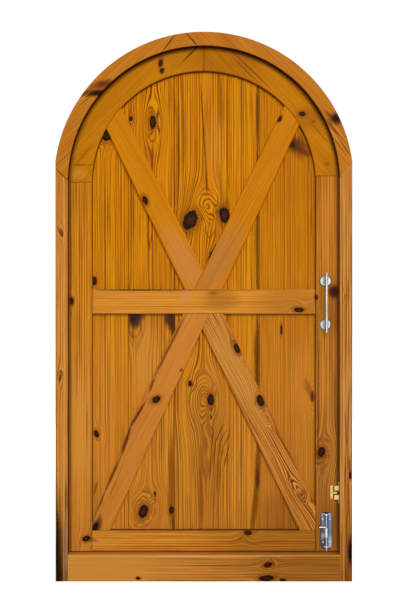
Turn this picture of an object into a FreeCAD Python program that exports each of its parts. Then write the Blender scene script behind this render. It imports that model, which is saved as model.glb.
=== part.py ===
import FreeCAD, Part
import os
import re
import Sketcher

# A round-headed pine door in its frame: a framed, ledged and cross-braced leaf that opens
# away from the viewer, hung on three butt hinges, with a bar pull, a barrel bolt and a ball catch.
# X runs to the right, Y away from the viewer, Z up. The origin is under the middle of the frame.

SIZES = [
    ("frame_width", 1080, "over both jambs"),
    ("frame_height", 2000, "floor to crown"),
    ("frame_depth", 85, "front to back"),
    ("jamb_face", 45, "front face of a jamb, with its stop"),
    ("stop_lip", 12, "how far the stop stands in front of the leaf's edge"),
    ("stop_depth", 39, "front face to the back of the stop"),
    ("arch_overhang", 5, "how far the arch's circle reaches past the jambs, where it is cut flush"),
    ("jamb_bevel_width", 14, "shallow bevel along the inner arris of a jamb"),
    ("jamb_bevel_depth", 2, "fall of that bevel"),
    ("arris_width", 2, "small chamfer on the frame's arrises"),
    ("threshold_height", 96, "floor to the top of the threshold"),
    ("threshold_arris_width", 4, "chamfer along the threshold's front edge"),
    ("left_mitre_rise", 3, "inner end of the left mitre above the springing"),
    ("right_mitre_rise", 16, "inner end of the right mitre above the springing"),
    ("key_left_outer_angle", 11, "key block's left joint at the outer radius, from the crown"),
    ("key_left_inner_angle", 18, "key block's left joint at the inner radius"),
    ("key_right_outer_angle", 7, "key block's right joint at the outer radius"),
    ("key_right_inner_angle", 2.7, "key block's right joint at the inner radius"),
    ("leaf_thickness", 44, "stiles and arch rails"),
    ("stop_gap", 2, "leaf face to the back of the stop"),
    ("edge_gap", 3, "leaf edge to the frame"),
    ("leaf_foot_gap", 6, "threshold to the bottom of the leaf"),
    ("stile_width", 94, "stiles and arch rails across their face"),
    ("board_thickness", 17, "vertical boards"),
    ("board_housing", 12, "rebate that houses the boards' ends and edges"),
    ("board_play", 0.5, "boards in their rebate"),
    ("leaf_arris_width", 2.5, "chamfer on stiles, rails and braces"),
    ("right_rail_rise", 24, "right stile's top above the springing"),
    ("middle_rail_bottom", 973, "floor to the underside of the middle rail"),
    ("middle_rail_height", 90, "middle rail across its face"),
    ("bottom_rail_height", 76, "bottom rail across its face"),
    ("tenon_length", 45, "rail tenons"),
    ("tenon_thickness", 10, "rail tenons"),
    ("tenon_shoulder", 12, "rail edge to the edge of its tenon"),
    ("tenon_play", 0.2, "tenon in its mortise"),
    ("seam_gap", 0.6, "between closed boards"),
    ("open_seam_gap", 6, "between the fourth and fifth boards, which have shrunk apart"),
    ("seam_chamfer", 2.5, "edges of the boards' faces"),
    ("tongue_length", 10, "board tongues"),
    ("tongue_thickness", 6, "board tongues"),
    ("tongue_play", 0.3, "tongue in its groove"),
    ("upper_left_foot_x", -70.6, "upper left brace, left edge at the middle rail"),
    ("upper_left_outer_angle", 61, "where that edge meets the arch rail, from the crown"),
    ("upper_left_head_x", 32, "its right edge carried down to the rail"),
    ("upper_left_inner_angle", 47.8, "where the right edge meets the arch rail"),
    ("upper_right_foot_x", -35.5, "upper right brace, left edge at the middle rail"),
    ("upper_right_inner_angle", 46.3, "where that edge meets the arch rail"),
    ("upper_right_head_x", 68.8, "its right edge at the rail"),
    ("upper_right_outer_angle", 58.7, "where the right edge meets the arch rail"),
    ("lower_left_edge_x", -78, "lower left brace, left edge at the middle rail"),
    ("lower_left_wane", 14.4, "how far that edge, a waney one, bows out"),
    ("lower_left_toe_rise", 27, "where it meets the stile, above the bottom rail"),
    ("lower_left_head_x", 19.7, "its right edge at the rail"),
    ("lower_left_heel", 65.7, "where the right edge meets the bottom rail, from the stile"),
    ("lower_right_edge_x", -32.4, "lower right brace, left edge carried up to the rail"),
    ("lower_right_heel", 58.1, "where that edge meets the bottom rail, from the stile"),
    ("lower_right_head_x", 71, "its right edge at the rail"),
    ("lower_right_toe_rise", 87.4, "where the right edge meets the stile, above the bottom rail"),
    ("dowel_radius", 5, "dowels in the joints of both arches"),
    ("dowel_length", 60, ""),
    ("dowel_play", 0.1, ""),
    ("nail_radius", 1.6, "nails through the boards into the rails"),
    ("nail_length", 38, ""),
    ("nail_head_radius", 3.5, ""),
    ("nail_head_thickness", 1.2, ""),
    ("nail_inset", 22, "board edge to its nails"),
    ("nail_rail_inset", 18, "rail edge to the nails in it"),
    ("fixing_hole_radius", 4, "wall fixing holes through the jambs"),
    ("fixing_foot_inset", 250, "floor to the lowest fixing hole"),
    ("fixing_head_inset", 105, "highest fixing hole below the springing"),
    ("sill_screw_radius", 3, "screws through the jambs into the threshold"),
    ("sill_screw_length", 80, ""),
    ("sill_screw_head_radius", 5.5, ""),
    ("sill_screw_spacing", 40, "front to back"),
    ("hinge_height", 100, "butt hinges"),
    ("hinge_plate_width", 30, "hinge plate clear of its knuckles"),
    ("hinge_plate_thickness", 2, ""),
    ("hinge_plate_gap", 0.4, "between the closed plates"),
    ("knuckle_radius", 5.5, ""),
    ("knuckle_clearance", 0.5, "round and between knuckles"),
    ("knuckle_count", 5, "knuckles along one hinge"),
    ("hinge_face_gap", 1, "knuckle to the back of the leaf"),
    ("hinge_pin_radius", 2.5, ""),
    ("hinge_pin_play", 0.05, ""),
    ("hinge_pin_head", 3, "height of a pin's head"),
    ("hinge_foot_inset", 168, "bottom of the leaf to the middle of the lowest hinge"),
    ("hinge_head_inset", 125, "middle of the top hinge below the springing"),
    ("hinge_screw_radius", 2, ""),
    ("hinge_screw_head_radius", 4, ""),
    ("hinge_screw_length", 25, ""),
    ("hinge_screw_step", 12, "the screws' stagger across a plate"),
    ("screw_play", 0.1, "screws in their holes"),
    ("pull_inset", 36, "inner edge of the stile to the middle of the bar pull"),
    ("pull_rise", 41, "underside of the middle rail to the middle of the bar pull"),
    ("pull_centres", 160, "between its posts"),
    ("pull_bar_length", 220, ""),
    ("pull_bar_radius", 5, ""),
    ("pull_bar_chamfer", 0.8, ""),
    ("pull_projection", 46, "leaf face to the middle of the bar"),
    ("pull_post_radius", 4.5, ""),
    ("pull_rose_radius", 21, ""),
    ("pull_rose_height", 8, ""),
    ("pull_rose_edge", 2.5, "bevel round a rose"),
    ("pull_bolt_radius", 3, "bolts from the far side into the posts"),
    ("pull_bolt_engagement", 20, "how far they reach into the posts"),
    ("pull_bolt_head_radius", 7, ""),
    ("pull_bolt_head_height", 4, ""),
    ("bolt_inset", 40, "inner edge of the stile to the middle of the barrel bolt"),
    ("bolt_plate_width", 43, ""),
    ("bolt_plate_height", 134, ""),
    ("bolt_plate_thickness", 2, ""),
    ("bolt_plate_corner", 14, ""),
    ("bolt_plate_rise", 9, "plate above the bottom of the leaf"),
    ("bolt_rod_radius", 4, ""),
    ("bolt_rod_play", 0.3, ""),
    ("bolt_rod_length", 139, ""),
    ("bolt_tip_gap", 5, "rod tip above the threshold when drawn"),
    ("bolt_tip_chamfer", 1.2, ""),
    ("bolt_throw", 25, "travel of the rod into the threshold"),
    ("bolt_lift", 18, "travel of the rod upwards"),
    ("bolt_arm_rise", 89, "arm above the rod's tip"),
    ("bolt_arm_radius", 2.75, ""),
    ("bolt_arm_reach", 21, "rod axis to the neck of the knob"),
    ("bolt_knob_radius", 3.6, ""),
    ("bolt_knob_length", 5, ""),
    ("guide_wall", 1.8, "barrel and staples round the rod"),
    ("guide_foot_width", 4.5, "feet of the barrel and staples"),
    ("guide_foot_thickness", 1, ""),
    ("barrel_length", 33, "slotted barrel"),
    ("barrel_arm_gap", 0.5, "arm to the barrel"),
    ("barrel_slot_play", 0.35, "arm in the barrel's slot"),
    ("staple_length", 6, ""),
    ("staple_inset", 5, "staples from the ends of the plate"),
    ("bolt_screw_inset", 25, "screws from the ends of the plate"),
    ("bolt_screw_spacing", 26, "across the plate"),
    ("bolt_screw_radius", 1.8, ""),
    ("bolt_screw_length", 18, ""),
    ("bolt_screw_head_radius", 3.4, ""),
    ("bolt_screw_head_height", 1.6, ""),
    ("socket_radius", 7, "hole for the rod in the threshold"),
    ("socket_depth", 40, ""),
    ("catch_rise", 216.5, "bottom of the leaf to the middle of the ball catch"),
    ("catch_plate_height", 80, ""),
    ("catch_plate_thickness", 2, ""),
    ("catch_depth", 12, "case, front to back"),
    ("catch_leaf_gap", 4.5, "case to the leaf's face"),
    ("catch_reach", 15, "blocks of the case out from its plate"),
    ("catch_mouth", 16.5, "between the blocks"),
    ("catch_block_height", 17, ""),
    ("catch_ball_radius", 4.5, ""),
    ("catch_ball_play", 0.1, "ball in its bore and over the tongue"),
    ("catch_ball_axis", 11, "plate's back to the balls' axis"),
    ("catch_bore_depth", 14.5, ""),
    ("catch_ball_in", 0.7, "ball's travel towards the tongue's waist"),
    ("catch_ball_out", 2, "ball's travel into its block"),
    ("catch_spring_radius", 3.4, ""),
    ("catch_spring_wire", 0.8, ""),
    ("catch_screw_inset", 6, "screws from the ends of the case's plate"),
    ("tongue_nose", 9, "thickness of the strike's tongue"),
    ("tongue_waist", 7.4, "and where the balls rest"),
    ("tongue_waist_length", 6, ""),
    ("tongue_bevel", 1.6, ""),
    ("tongue_end_gap", 7.5, "tongue to the case's plate"),
    ("tongue_tip", 4, "tongue beyond its waist"),
    ("strike_width", 8, "strike's bar on the leaf"),
    ("strike_height", 47, ""),
    ("strike_thickness", 2, ""),
    ("strike_edge_gap", 22, "strike's bar to the jamb"),
    ("strike_screw_spacing", 34, ""),
    ("small_screw_radius", 1.5, "screws of the catch and its strike"),
    ("small_screw_length", 14, ""),
    ("small_screw_head_radius", 2.8, ""),
    ("small_screw_head_height", 1.2, ""),
    ("overrun", 20, "how far every cutting solid runs past what it cuts"),
]

# Where the boards' seams lie, as shares of the boards' whole width, and how far along
# a brace its edge bows out, as a share of that edge. A cut runs a share of its line past
# each end, and lengths under the last value count as none.
SEAM_SHARES = [0.1693, 0.3711, 0.6123, 0.7395, 0.8514]
WANE_SHARE = 0.526
BEYOND_SHARE = 0.15
NEARLY_ZERO = 1e-4

doc = FreeCAD.newDocument("arched_door")
sheet = doc.addObject("Spreadsheet::Sheet", "Sizes")
for row, (alias, number, note) in enumerate(SIZES, start=1):
    sheet.set(f"A{row}", str(number))
    sheet.setAlias(f"A{row}", alias)
    sheet.set(f"B{row}", note)
doc.recompute()

ALIASES = {alias for alias, number, note in SIZES}
NODES = []


# Expressions, evaluated in the sheet of sizes

def sheet_text(text):
    """Puts the sheet's name before every size named in an expression."""
    return re.sub(r"[a-z_][a-z_0-9]*",
                  lambda word: "Sizes." + word[0] if word[0] in ALIASES else word[0], text)


def value(text):
    """The number that an expression gives."""
    return float(sheet.evalExpression(sheet_text(text)))


def bind(item, **properties):
    """Ties properties to expressions; a double underscore in a name stands for a dot."""
    for name, text in properties.items():
        item.setExpression(name.replace("__", "."), sheet_text(text))


def place(item, x="0", y="0", z="0", turn=None):
    """Puts an object at x, y, z; turn is an axis and an angle."""
    if turn:
        item.Placement = FreeCAD.Placement(FreeCAD.Vector(), FreeCAD.Rotation(*turn))
    bind(item, Placement__Base__x=x, Placement__Base__y=y, Placement__Base__z=z)
    return item


ALONG_X = (FreeCAD.Vector(0, 1, 0), 90)
TOWARDS_VIEWER = (FreeCAD.Vector(1, 0, 0), 90)
TOWARDS_LEFT = (FreeCAD.Vector(0, 1, 0), -90)


# Building blocks

def sketch(body, role, points, shift=None):
    """A closed outline in one of the body's own planes, each corner pinned by two expressions."""
    drawn = body.newObject("Sketcher::SketchObject", body.Name + "_outline")
    drawn.AttachmentSupport = [([f for f in body.Origin.OriginFeatures if f.Role == role][0], "")]
    drawn.MapMode = "FlatFace"
    corners = [FreeCAD.Vector(value(across), value(up), 0) for across, up in points]
    for index, corner in enumerate(corners):
        drawn.addGeometry(Part.LineSegment(corner, corners[(index + 1) % len(corners)]))
    for index, corner in enumerate(corners):
        after = (index + 1) % len(corners)
        drawn.addConstraint(Sketcher.Constraint("Coincident", index, 2, after, 1))
    for index, (across, up) in enumerate(points):
        number = drawn.addConstraint(Sketcher.Constraint("DistanceX", -1, 1, index, 1, corners[index].x))
        drawn.setExpression(f"Constraints[{number}]", sheet_text(across))
        number = drawn.addConstraint(Sketcher.Constraint("DistanceY", -1, 1, index, 1, corners[index].y))
        drawn.setExpression(f"Constraints[{number}]", sheet_text(up))
    if shift:
        bind(drawn, **shift)
    return drawn


def slab(name, role, points, low, high):
    """An outline padded from low to high along the normal of its plane."""
    body = doc.addObject("PartDesign::Body", name)
    start = f"-({high})" if role == "XZ_Plane" else low
    drawn = sketch(body, role, points, {"AttachmentOffset__Base__z": start})
    pad = body.newObject("PartDesign::Pad", name + "_pad")
    pad.Profile = drawn
    bind(pad, Length=f"({high}) - ({low})")
    return body


def rectangle(left, right, low, high):
    return [(left, low), (right, low), (right, high), (left, high)]


def arch(name, points, angle, centre, midplane=False, reverse=False):
    """A section of depth against radius, turned about the level axis through an arch's centre."""
    body = doc.addObject("PartDesign::Body", name)
    drawn = sketch(body, "YZ_Plane", points, {"AttachmentOffset__Base__y": centre})
    turned = body.newObject("PartDesign::Revolution", name + "_turn")
    turned.Profile = drawn
    turned.ReferenceAxis = (drawn, ["H_Axis"])
    turned.Angle = angle
    turned.Midplane = midplane
    turned.Reversed = reverse
    return body


def lathe(name, points):
    """A section of radius against height, turned about its own Z axis."""
    body = doc.addObject("PartDesign::Body", name)
    drawn = sketch(body, "XZ_Plane", points)
    turned = body.newObject("PartDesign::Revolution", name + "_turn")
    turned.Profile = drawn
    turned.ReferenceAxis = (drawn, ["V_Axis"])
    turned.Angle = 360
    return body


def cylinder(name, radius, length, x="0", y="0", z="0", turn=None):
    item = doc.addObject("Part::Cylinder", name)
    bind(item, Radius=radius, Height=length)
    return place(item, x, y, z, turn)


def block(name, x, y, z):
    """A box from three pairs of low and high expressions."""
    item = doc.addObject("Part::Box", name)
    spans = [f"({high}) - ({low})" for low, high in (x, y, z)]
    bind(item, Length=spans[0], Width=spans[1], Height=spans[2])
    return place(item, x[0], y[0], z[0])


def cut(name, base, *tools):
    """Tools taken out of a base."""
    item = doc.addObject("Part::Cut", name)
    item.Base = base
    item.Tool = tools[0] if len(tools) == 1 else join(name + "_tools", *tools)
    return item


def join(name, *shapes):
    item = doc.addObject("Part::MultiFuse", name)
    item.Shapes = list(shapes)
    return item


def shared(name, base, tool):
    """What two shapes have in common."""
    item = doc.addObject("Part::Common", name)
    item.Base = base
    item.Tool = tool
    return item


def copies(name, pattern, places):
    """One modelled fastener, or its hole, set at each of the places worked out from the sheet."""
    doc.recompute()
    group = doc.addObject("Part::Feature", name)
    shapes = []
    for spot, direction in places:
        shape = pattern.Shape.copy()
        turn = FreeCAD.Rotation(FreeCAD.Vector(0, 0, 1), FreeCAD.Vector(*direction))
        shape.Placement = FreeCAD.Placement(FreeCAD.Vector(*spot), turn) * pattern.Shape.Placement
        shapes.append(shape)
    group.Shape = Part.makeCompound(shapes)
    return group


def moved(name, pattern, z):
    """A second piece like one already modelled, higher up."""
    doc.recompute()
    item = doc.addObject("Part::Feature", name)
    item.Shape = pattern.Shape.copy()
    item.Placement = FreeCAD.Placement(FreeCAD.Vector(0, 0, value(z)),
                                       FreeCAD.Rotation()) * pattern.Placement
    return item


def node(item, label):
    """Marks an object as a finished sub-part under its own name."""
    item.Label = label
    NODES.append(item)
    return item


# Places that many pieces share

HALF_WIDTH = "frame_width / 2"
OPENING = "(frame_width / 2 - jamb_face)"
REBATE = f"({OPENING} + stop_lip)"
ARCH_OUTER = f"({HALF_WIDTH} + arch_overhang)"
SPRING = f"(frame_height - {ARCH_OUTER})"
FRONT = "(-frame_depth / 2)"
BACK = "(frame_depth / 2)"
STOP_BACK = f"({FRONT} + stop_depth)"
LEAF_FRONT = f"({STOP_BACK} + stop_gap)"
LEAF_BACK = f"({LEAF_FRONT} + leaf_thickness)"
LEAF_HALF = f"({REBATE} - edge_gap)"
LEAF_BOTTOM = "(threshold_height + leaf_foot_gap)"
PANEL = f"({LEAF_HALF} - stile_width)"
HOUSING = f"({PANEL} + board_housing)"
BOARD_EDGE = f"({HOUSING} - board_play)"
BOARD_FRONT = f"({LEAF_BACK} - board_thickness)"
RAIL_MIDDLE = "(middle_rail_bottom + middle_rail_height)"
BOTTOM_RAIL_TOP = f"({LEAF_BOTTOM} + bottom_rail_height)"
HINGE_X = f"(-{REBATE} + edge_gap / 2)"
HINGE_Y = f"({LEAF_BACK} + hinge_face_gap + knuckle_radius)"
PULL_X = f"({PANEL} + pull_inset)"
PULL_Z = "(middle_rail_bottom + pull_rise)"
BOLT_X = f"({PANEL} + bolt_inset)"
CATCH_Z = f"({LEAF_BOTTOM} + catch_rise)"
HINGE_LOW = f"({LEAF_BOTTOM} + hinge_foot_inset)"
HINGE_SPACING = f"(({SPRING} - hinge_head_inset - {HINGE_LOW}) / 2)"
FIXING_SPACING = f"(({SPRING} - fixing_head_inset - fixing_foot_inset) / 2)"
RAIL_AXIS_Y = f"(({LEAF_FRONT} + {BOARD_FRONT}) / 2)"


def fastener(name, radius, length, head_radius, head_height, sunk=False):
    """A screw or nail along Z, its head's top at the origin if sunk, or its underside if not."""
    stem = [(radius, f"-({length})"), ("0", f"-({length})")]
    if sunk:
        head = [("0", "0"), (head_radius, "0"), (radius, f"-({head_height})")]
    else:
        head = [("0", head_height), (head_radius, head_height), (head_radius, "0"), (radius, "0")]
    return lathe(name, head + stem)


# The frame: two rebated jambs, an arch in three pieces, a threshold

def fixing_holes(side, x):
    holes = []
    for index in range(3):
        height = f"fixing_foot_inset + {index} * {FIXING_SPACING}"
        middle = f"({FRONT} + {STOP_BACK}) / 2"
        low = f"{x} - overrun"
        holes.append(cylinder(f"{side}_fixing_{index}", "fixing_hole_radius", "jamb_face + 2 * overrun",
                              low, middle, height, ALONG_X))
    return holes


def jamb_section(sign):
    """Rebated section, with a shallow bevel down the inner arris of the face."""
    points = [
        (f"{sign} * {HALF_WIDTH}", f"{FRONT} + arris_width"),
        (f"{sign} * ({HALF_WIDTH} - arris_width)", FRONT),
        (f"{sign} * ({OPENING} + jamb_bevel_width)", FRONT),
        (f"{sign} * {OPENING}", f"{FRONT} + jamb_bevel_depth"),
        (f"{sign} * {OPENING}", STOP_BACK),
        (f"{sign} * {REBATE}", STOP_BACK),
        (f"{sign} * {REBATE}", BACK),
        (f"{sign} * {HALF_WIDTH}", BACK),
    ]
    return points


def above_mitre(name, sign, rise):
    """The wedge that a mitre at 45 degrees takes off the top of a jamb."""
    inner = f"{SPRING} + {rise}"
    points = [
        (f"{sign} * ({OPENING} - overrun)", f"{inner} - overrun"),
        (f"{sign} * ({HALF_WIDTH} + overrun)", f"{inner} + jamb_face + overrun"),
        (f"{sign} * ({OPENING} - overrun)", f"{inner} + jamb_face + overrun"),
    ]
    return slab(name, "XZ_Plane", points, f"{FRONT} - overrun", f"{BACK} + overrun")


SILL_SCREW_Y = [f"({FRONT} + {BACK}) / 2 + {side} * sill_screw_spacing / 2" for side in (-1, 1)]
SILL_SCREW_PLACES = [
    ((sign * value(HALF_WIDTH), value(depth), value("threshold_height") / 2), (sign, 0, 0))
    for sign in (-1, 1) for depth in SILL_SCREW_Y
]
sill_screw = fastener("sill_screw_pattern", "sill_screw_radius", "sill_screw_length",
                      "sill_screw_head_radius", "sill_screw_radius", sunk=True)
sill_hole = fastener("sill_hole_pattern", "sill_screw_radius + screw_play",
                     "sill_screw_length + screw_play",
                     "sill_screw_head_radius + screw_play", "sill_screw_radius", sunk=True)
sill_holes = copies("sill_holes", sill_hole, SILL_SCREW_PLACES)
node(copies("sill_screws_copies", sill_screw, SILL_SCREW_PLACES), "threshold_screws")

dowel = cylinder("dowel_pattern", "dowel_radius", "dowel_length", z="-dowel_length / 2")
dowel_hole = cylinder("dowel_hole_pattern", "dowel_radius + dowel_play", "dowel_length + 2 * dowel_play",
                      z="-dowel_length / 2 - dowel_play")


def at_angle(angle, radius):
    """X and Z of a point on an arch, at an angle from the crown towards the left."""
    return value(f"-({radius}) * sin({angle})"), value(f"{SPRING} + ({radius}) * cos({angle})")


def mitre_dowels(sign, rise):
    """Two upright dowels across a mitre, in the stop and in the rebated part."""
    x = f"({HALF_WIDTH} + {REBATE}) / 2"
    z = value(f"{SPRING} + {rise} + {x} - {OPENING}")
    depths = [f"({FRONT} + {STOP_BACK}) / 2", f"({STOP_BACK} + {BACK}) / 2"]
    return [((sign * value(x), value(depth), z), (0, 0, 1)) for depth in depths]


def key_dowels(outer, inner):
    """Two dowels across a joint of the key block, along the arch."""
    angle = f"(({outer}) + ({inner})) / 2"
    x, z = at_angle(angle, f"({REBATE} + {ARCH_OUTER}) / 2")
    depths = [f"({FRONT} + {STOP_BACK}) / 2", f"({STOP_BACK} + {BACK}) / 2"]
    along = (value(f"cos({angle})"), 0, value(f"sin({angle})"))
    return [((x, value(depth), z), along) for depth in depths]


FRAME_DOWELS = (mitre_dowels(-1, "left_mitre_rise") + mitre_dowels(1, "right_mitre_rise")
                + key_dowels("key_left_outer_angle", "key_left_inner_angle")
                + key_dowels("key_right_outer_angle", "key_right_inner_angle"))
frame_dowel_holes = copies("frame_dowel_holes", dowel_hole, FRAME_DOWELS)
node(copies("frame_dowel_copies", dowel, FRAME_DOWELS), "frame_dowels")


def jamb(side, sign, rise, *more_cuts):
    blank = slab(f"{side}_jamb_blank", "XY_Plane", jamb_section(sign), "0",
                 f"{SPRING} + {rise} + jamb_face")
    outer = f"{sign} * ({OPENING} + jamb_face / 2) - jamb_face / 2"
    tools = [above_mitre(f"{side}_mitre", sign, rise), frame_dowel_holes, sill_holes]
    tools += fixing_holes(side, outer)
    return node(cut(f"{side}_jamb_cut", blank, *tools, *more_cuts), f"{side}_jamb")


ring_section = [
    (FRONT, f"{OPENING} + arris_width"), (f"{FRONT} + arris_width", OPENING), (STOP_BACK, OPENING),
    (STOP_BACK, REBATE), (BACK, REBATE), (BACK, ARCH_OUTER),
    (f"{FRONT} + arris_width", ARCH_OUTER), (FRONT, f"{ARCH_OUTER} - arris_width"),
]
ring = arch("frame_ring", ring_section, 180, SPRING, midplane=True)
ring_drilled = cut("frame_ring_drilled", ring, frame_dowel_holes)


def joint_line(outer_angle, inner_angle):
    """The ends of a key block joint, carried a little past both faces of the arch."""
    out_x, out_z = f"-{ARCH_OUTER} * sin({outer_angle})", f"{ARCH_OUTER} * cos({outer_angle})"
    in_x, in_z = f"-{OPENING} * sin({inner_angle})", f"{OPENING} * cos({inner_angle})"
    over_x, over_z = f"(({out_x}) - ({in_x}))", f"(({out_z}) - ({in_z}))"
    top = (f"({out_x}) + {over_x}", f"{SPRING} + ({out_z}) + {over_z}")
    bottom = (f"({in_x}) - {over_x}", f"{SPRING} + ({in_z}) - {over_z}")
    return top, bottom


def mitre_line(sign, rise):
    """The ends of a mitre: past the inner face, and on the jamb's outer face."""
    inner = (f"{sign} * ({OPENING} - overrun)", f"{SPRING} + {rise} - overrun")
    outer = (f"{sign} * {HALF_WIDTH}", f"{SPRING} + {rise} + jamb_face")
    return inner, outer


def arch_piece(label, points):
    sector = slab(label + "_sector", "XZ_Plane", points, f"{FRONT} - overrun", f"{BACK} + overrun")
    return node(shared(label + "_piece", ring_drilled, sector), label)


HIGH = "frame_height + 3 * overrun"
left_top, left_bottom = joint_line("key_left_outer_angle", "key_left_inner_angle")
right_top, right_bottom = joint_line("key_right_outer_angle", "key_right_inner_angle")
inner, outer = mitre_line(-1, "left_mitre_rise")
arch_piece("arch_left", [inner, outer, (f"-{HALF_WIDTH}", HIGH), left_top, left_bottom])
arch_piece("arch_key", [left_bottom, left_top, (left_top[0], HIGH), (right_top[0], HIGH), right_top,
                        right_bottom])
inner, outer = mitre_line(1, "right_mitre_rise")
arch_piece("arch_right", [inner, outer, (HALF_WIDTH, HIGH), right_top, right_bottom])

# The barrel bolt's socket is a plain hole bored in the threshold, under the rod

BOLT_PLATE_FRONT = f"({LEAF_FRONT} - bolt_plate_thickness)"
ROD_Y = f"({BOLT_PLATE_FRONT} - bolt_rod_radius - bolt_rod_play)"

threshold_blank = slab("threshold_blank", "XY_Plane", [
    (f"-{REBATE}", BACK), (REBATE, BACK), (REBATE, STOP_BACK), (OPENING, STOP_BACK),
    (OPENING, f"{FRONT}"), (f"-{OPENING}", f"{FRONT}"), (f"-{OPENING}", STOP_BACK),
    (f"-{REBATE}", STOP_BACK),
], "0", "threshold_height")
nosing = slab("threshold_nosing", "YZ_Plane", [
    (f"{FRONT} - overrun", "threshold_height - threshold_arris_width - overrun"),
    (f"{FRONT} + threshold_arris_width + overrun", "threshold_height + overrun"),
    (f"{FRONT} - overrun", "threshold_height + overrun"),
], f"-{HALF_WIDTH}", HALF_WIDTH)
socket = cylinder("rod_socket", "socket_radius", "socket_depth + overrun",
                  BOLT_X, ROD_Y, "threshold_height - socket_depth")
node(cut("threshold_cut", threshold_blank, nosing, socket, sill_holes), "threshold")

# Butt hinges: two plates let into the jamb and the stile, with knuckles outside the leaf's back

PLATE_BACK = f"({HINGE_Y} - knuckle_radius - knuckle_clearance)"
PLATE_FRONT = f"({PLATE_BACK} - hinge_plate_width)"
HINGE_FOOT = f"({HINGE_LOW} - hinge_height / 2)"
KNUCKLE_PITCH = "(hinge_height / knuckle_count)"


def hinge_leaf(label, sign, numbers):
    """A plate on one side of the hinge line, with its share of the knuckles; sign gives the side."""
    near = f"{HINGE_X} + {sign} * hinge_plate_gap / 2"
    far = f"{HINGE_X} + {sign} * (hinge_plate_gap / 2 + hinge_plate_thickness)"
    across = (far, near) if sign < 0 else (near, far)
    pieces = [block(label + "_plate", across, (PLATE_FRONT, PLATE_BACK),
                    (HINGE_FOOT, f"{HINGE_FOOT} + hinge_height"))]
    for number in numbers:
        low = f"{HINGE_FOOT} + {number} * {KNUCKLE_PITCH} + knuckle_clearance / 2"
        high = f"{HINGE_FOOT} + {number + 1} * {KNUCKLE_PITCH} - knuckle_clearance / 2"
        pieces.append(cylinder(f"{label}_knuckle_{number}", "knuckle_radius",
                               f"{KNUCKLE_PITCH} - knuckle_clearance", HINGE_X, HINGE_Y, low))
        pieces.append(block(f"{label}_web_{number}", across, (PLATE_BACK, HINGE_Y), (low, high)))
    bore = cylinder(label + "_bore", "hinge_pin_radius + hinge_pin_play", "hinge_height + 2 * overrun",
                    HINGE_X, HINGE_Y, f"{HINGE_FOOT} - overrun")
    return join(label + "_blank", *pieces), bore


def hinge_screw_places(sign, hinge):
    """Four staggered screws, their heads flush with the inside of a plate."""
    x = value(f"{HINGE_X} + {sign} * hinge_plate_gap / 2")
    places = []
    for index in range(4):
        height = value(f"{HINGE_FOOT} + ({index} + 0.5) * hinge_height / 4 + {hinge} * {HINGE_SPACING}")
        stagger = value(f"({PLATE_FRONT} + {PLATE_BACK}) / 2 + {(-1) ** index} * hinge_screw_step / 2")
        places.append(((x, stagger, height), (-sign, 0, 0)))
    return places


hinge_screw = fastener("hinge_screw_pattern", "hinge_screw_radius", "hinge_screw_length",
                       "hinge_screw_head_radius", "hinge_plate_thickness", sunk=True)
hinge_hole = fastener("hinge_hole_pattern", "hinge_screw_radius + screw_play",
                      "hinge_screw_length + screw_play",
                      "hinge_screw_head_radius + screw_play", "hinge_plate_thickness", sunk=True)
HINGES = ["low", "middle", "top"]
hinge_holes = {}
for sign, side in ((-1, "jamb"), (1, "stile")):
    places = [spot for hinge in range(3) for spot in hinge_screw_places(sign, hinge)]
    hinge_holes[side] = copies(f"{side}_hinge_holes", hinge_hole, places)
    node(copies(f"{side}_hinge_screw_copies", hinge_screw, places), f"{side}_hinge_screws")
    numbers = [0, 2, 4] if sign < 0 else [1, 3]
    blank, bore = hinge_leaf(f"{side}_hinge", sign, numbers)
    first_holes = copies(f"{side}_first_hinge_holes", hinge_hole, hinge_screw_places(sign, 0))
    first = cut(f"{side}_hinge_leaf", blank, bore, first_holes)
    node(first, f"hinge_{HINGES[0]}_{side}_plate")
    for hinge in (1, 2):
        node(moved(f"{side}_hinge_{hinge}", first, f"{hinge} * {HINGE_SPACING}"),
             f"hinge_{HINGES[hinge]}_{side}_plate")

hinge_pin = lathe("hinge_pin_pattern", [
    ("0", "0"), ("hinge_pin_radius", "0"), ("hinge_pin_radius", "hinge_height - knuckle_clearance / 2"),
    ("knuckle_radius", "hinge_height - knuckle_clearance / 2"),
    ("knuckle_radius - arris_width / 2", "hinge_height + hinge_pin_head"),
    ("0", "hinge_height + hinge_pin_head"),
])
place(hinge_pin, HINGE_X, HINGE_Y, HINGE_FOOT)
node(hinge_pin, "hinge_low_pin")
for hinge in (1, 2):
    node(moved(f"hinge_pin_{hinge}", hinge_pin, f"{hinge} * {HINGE_SPACING}"),
         f"hinge_{HINGES[hinge]}_pin")


def hinge_recesses(side, sign):
    """Shallow housings for the three plates of one side."""
    edge = f"{HINGE_X} + {sign} * (hinge_plate_gap / 2 + hinge_plate_thickness)"
    mouth = f"{HINGE_X} + {sign} * (edge_gap / 2 - hinge_plate_thickness)"
    across = (edge, mouth) if sign < 0 else (mouth, edge)
    low = f"{HINGE_FOOT}"
    return [
        block(f"{side}_recess_{hinge}", across, (PLATE_FRONT, f"{LEAF_BACK} + overrun"),
              (f"{low} + {hinge} * {HINGE_SPACING}", f"{low} + hinge_height + {hinge} * {HINGE_SPACING}"))
        for hinge in range(3)
    ]


# Ball catch on the reveal of the right jamb: a case with two sprung balls that grip a tongue

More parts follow.
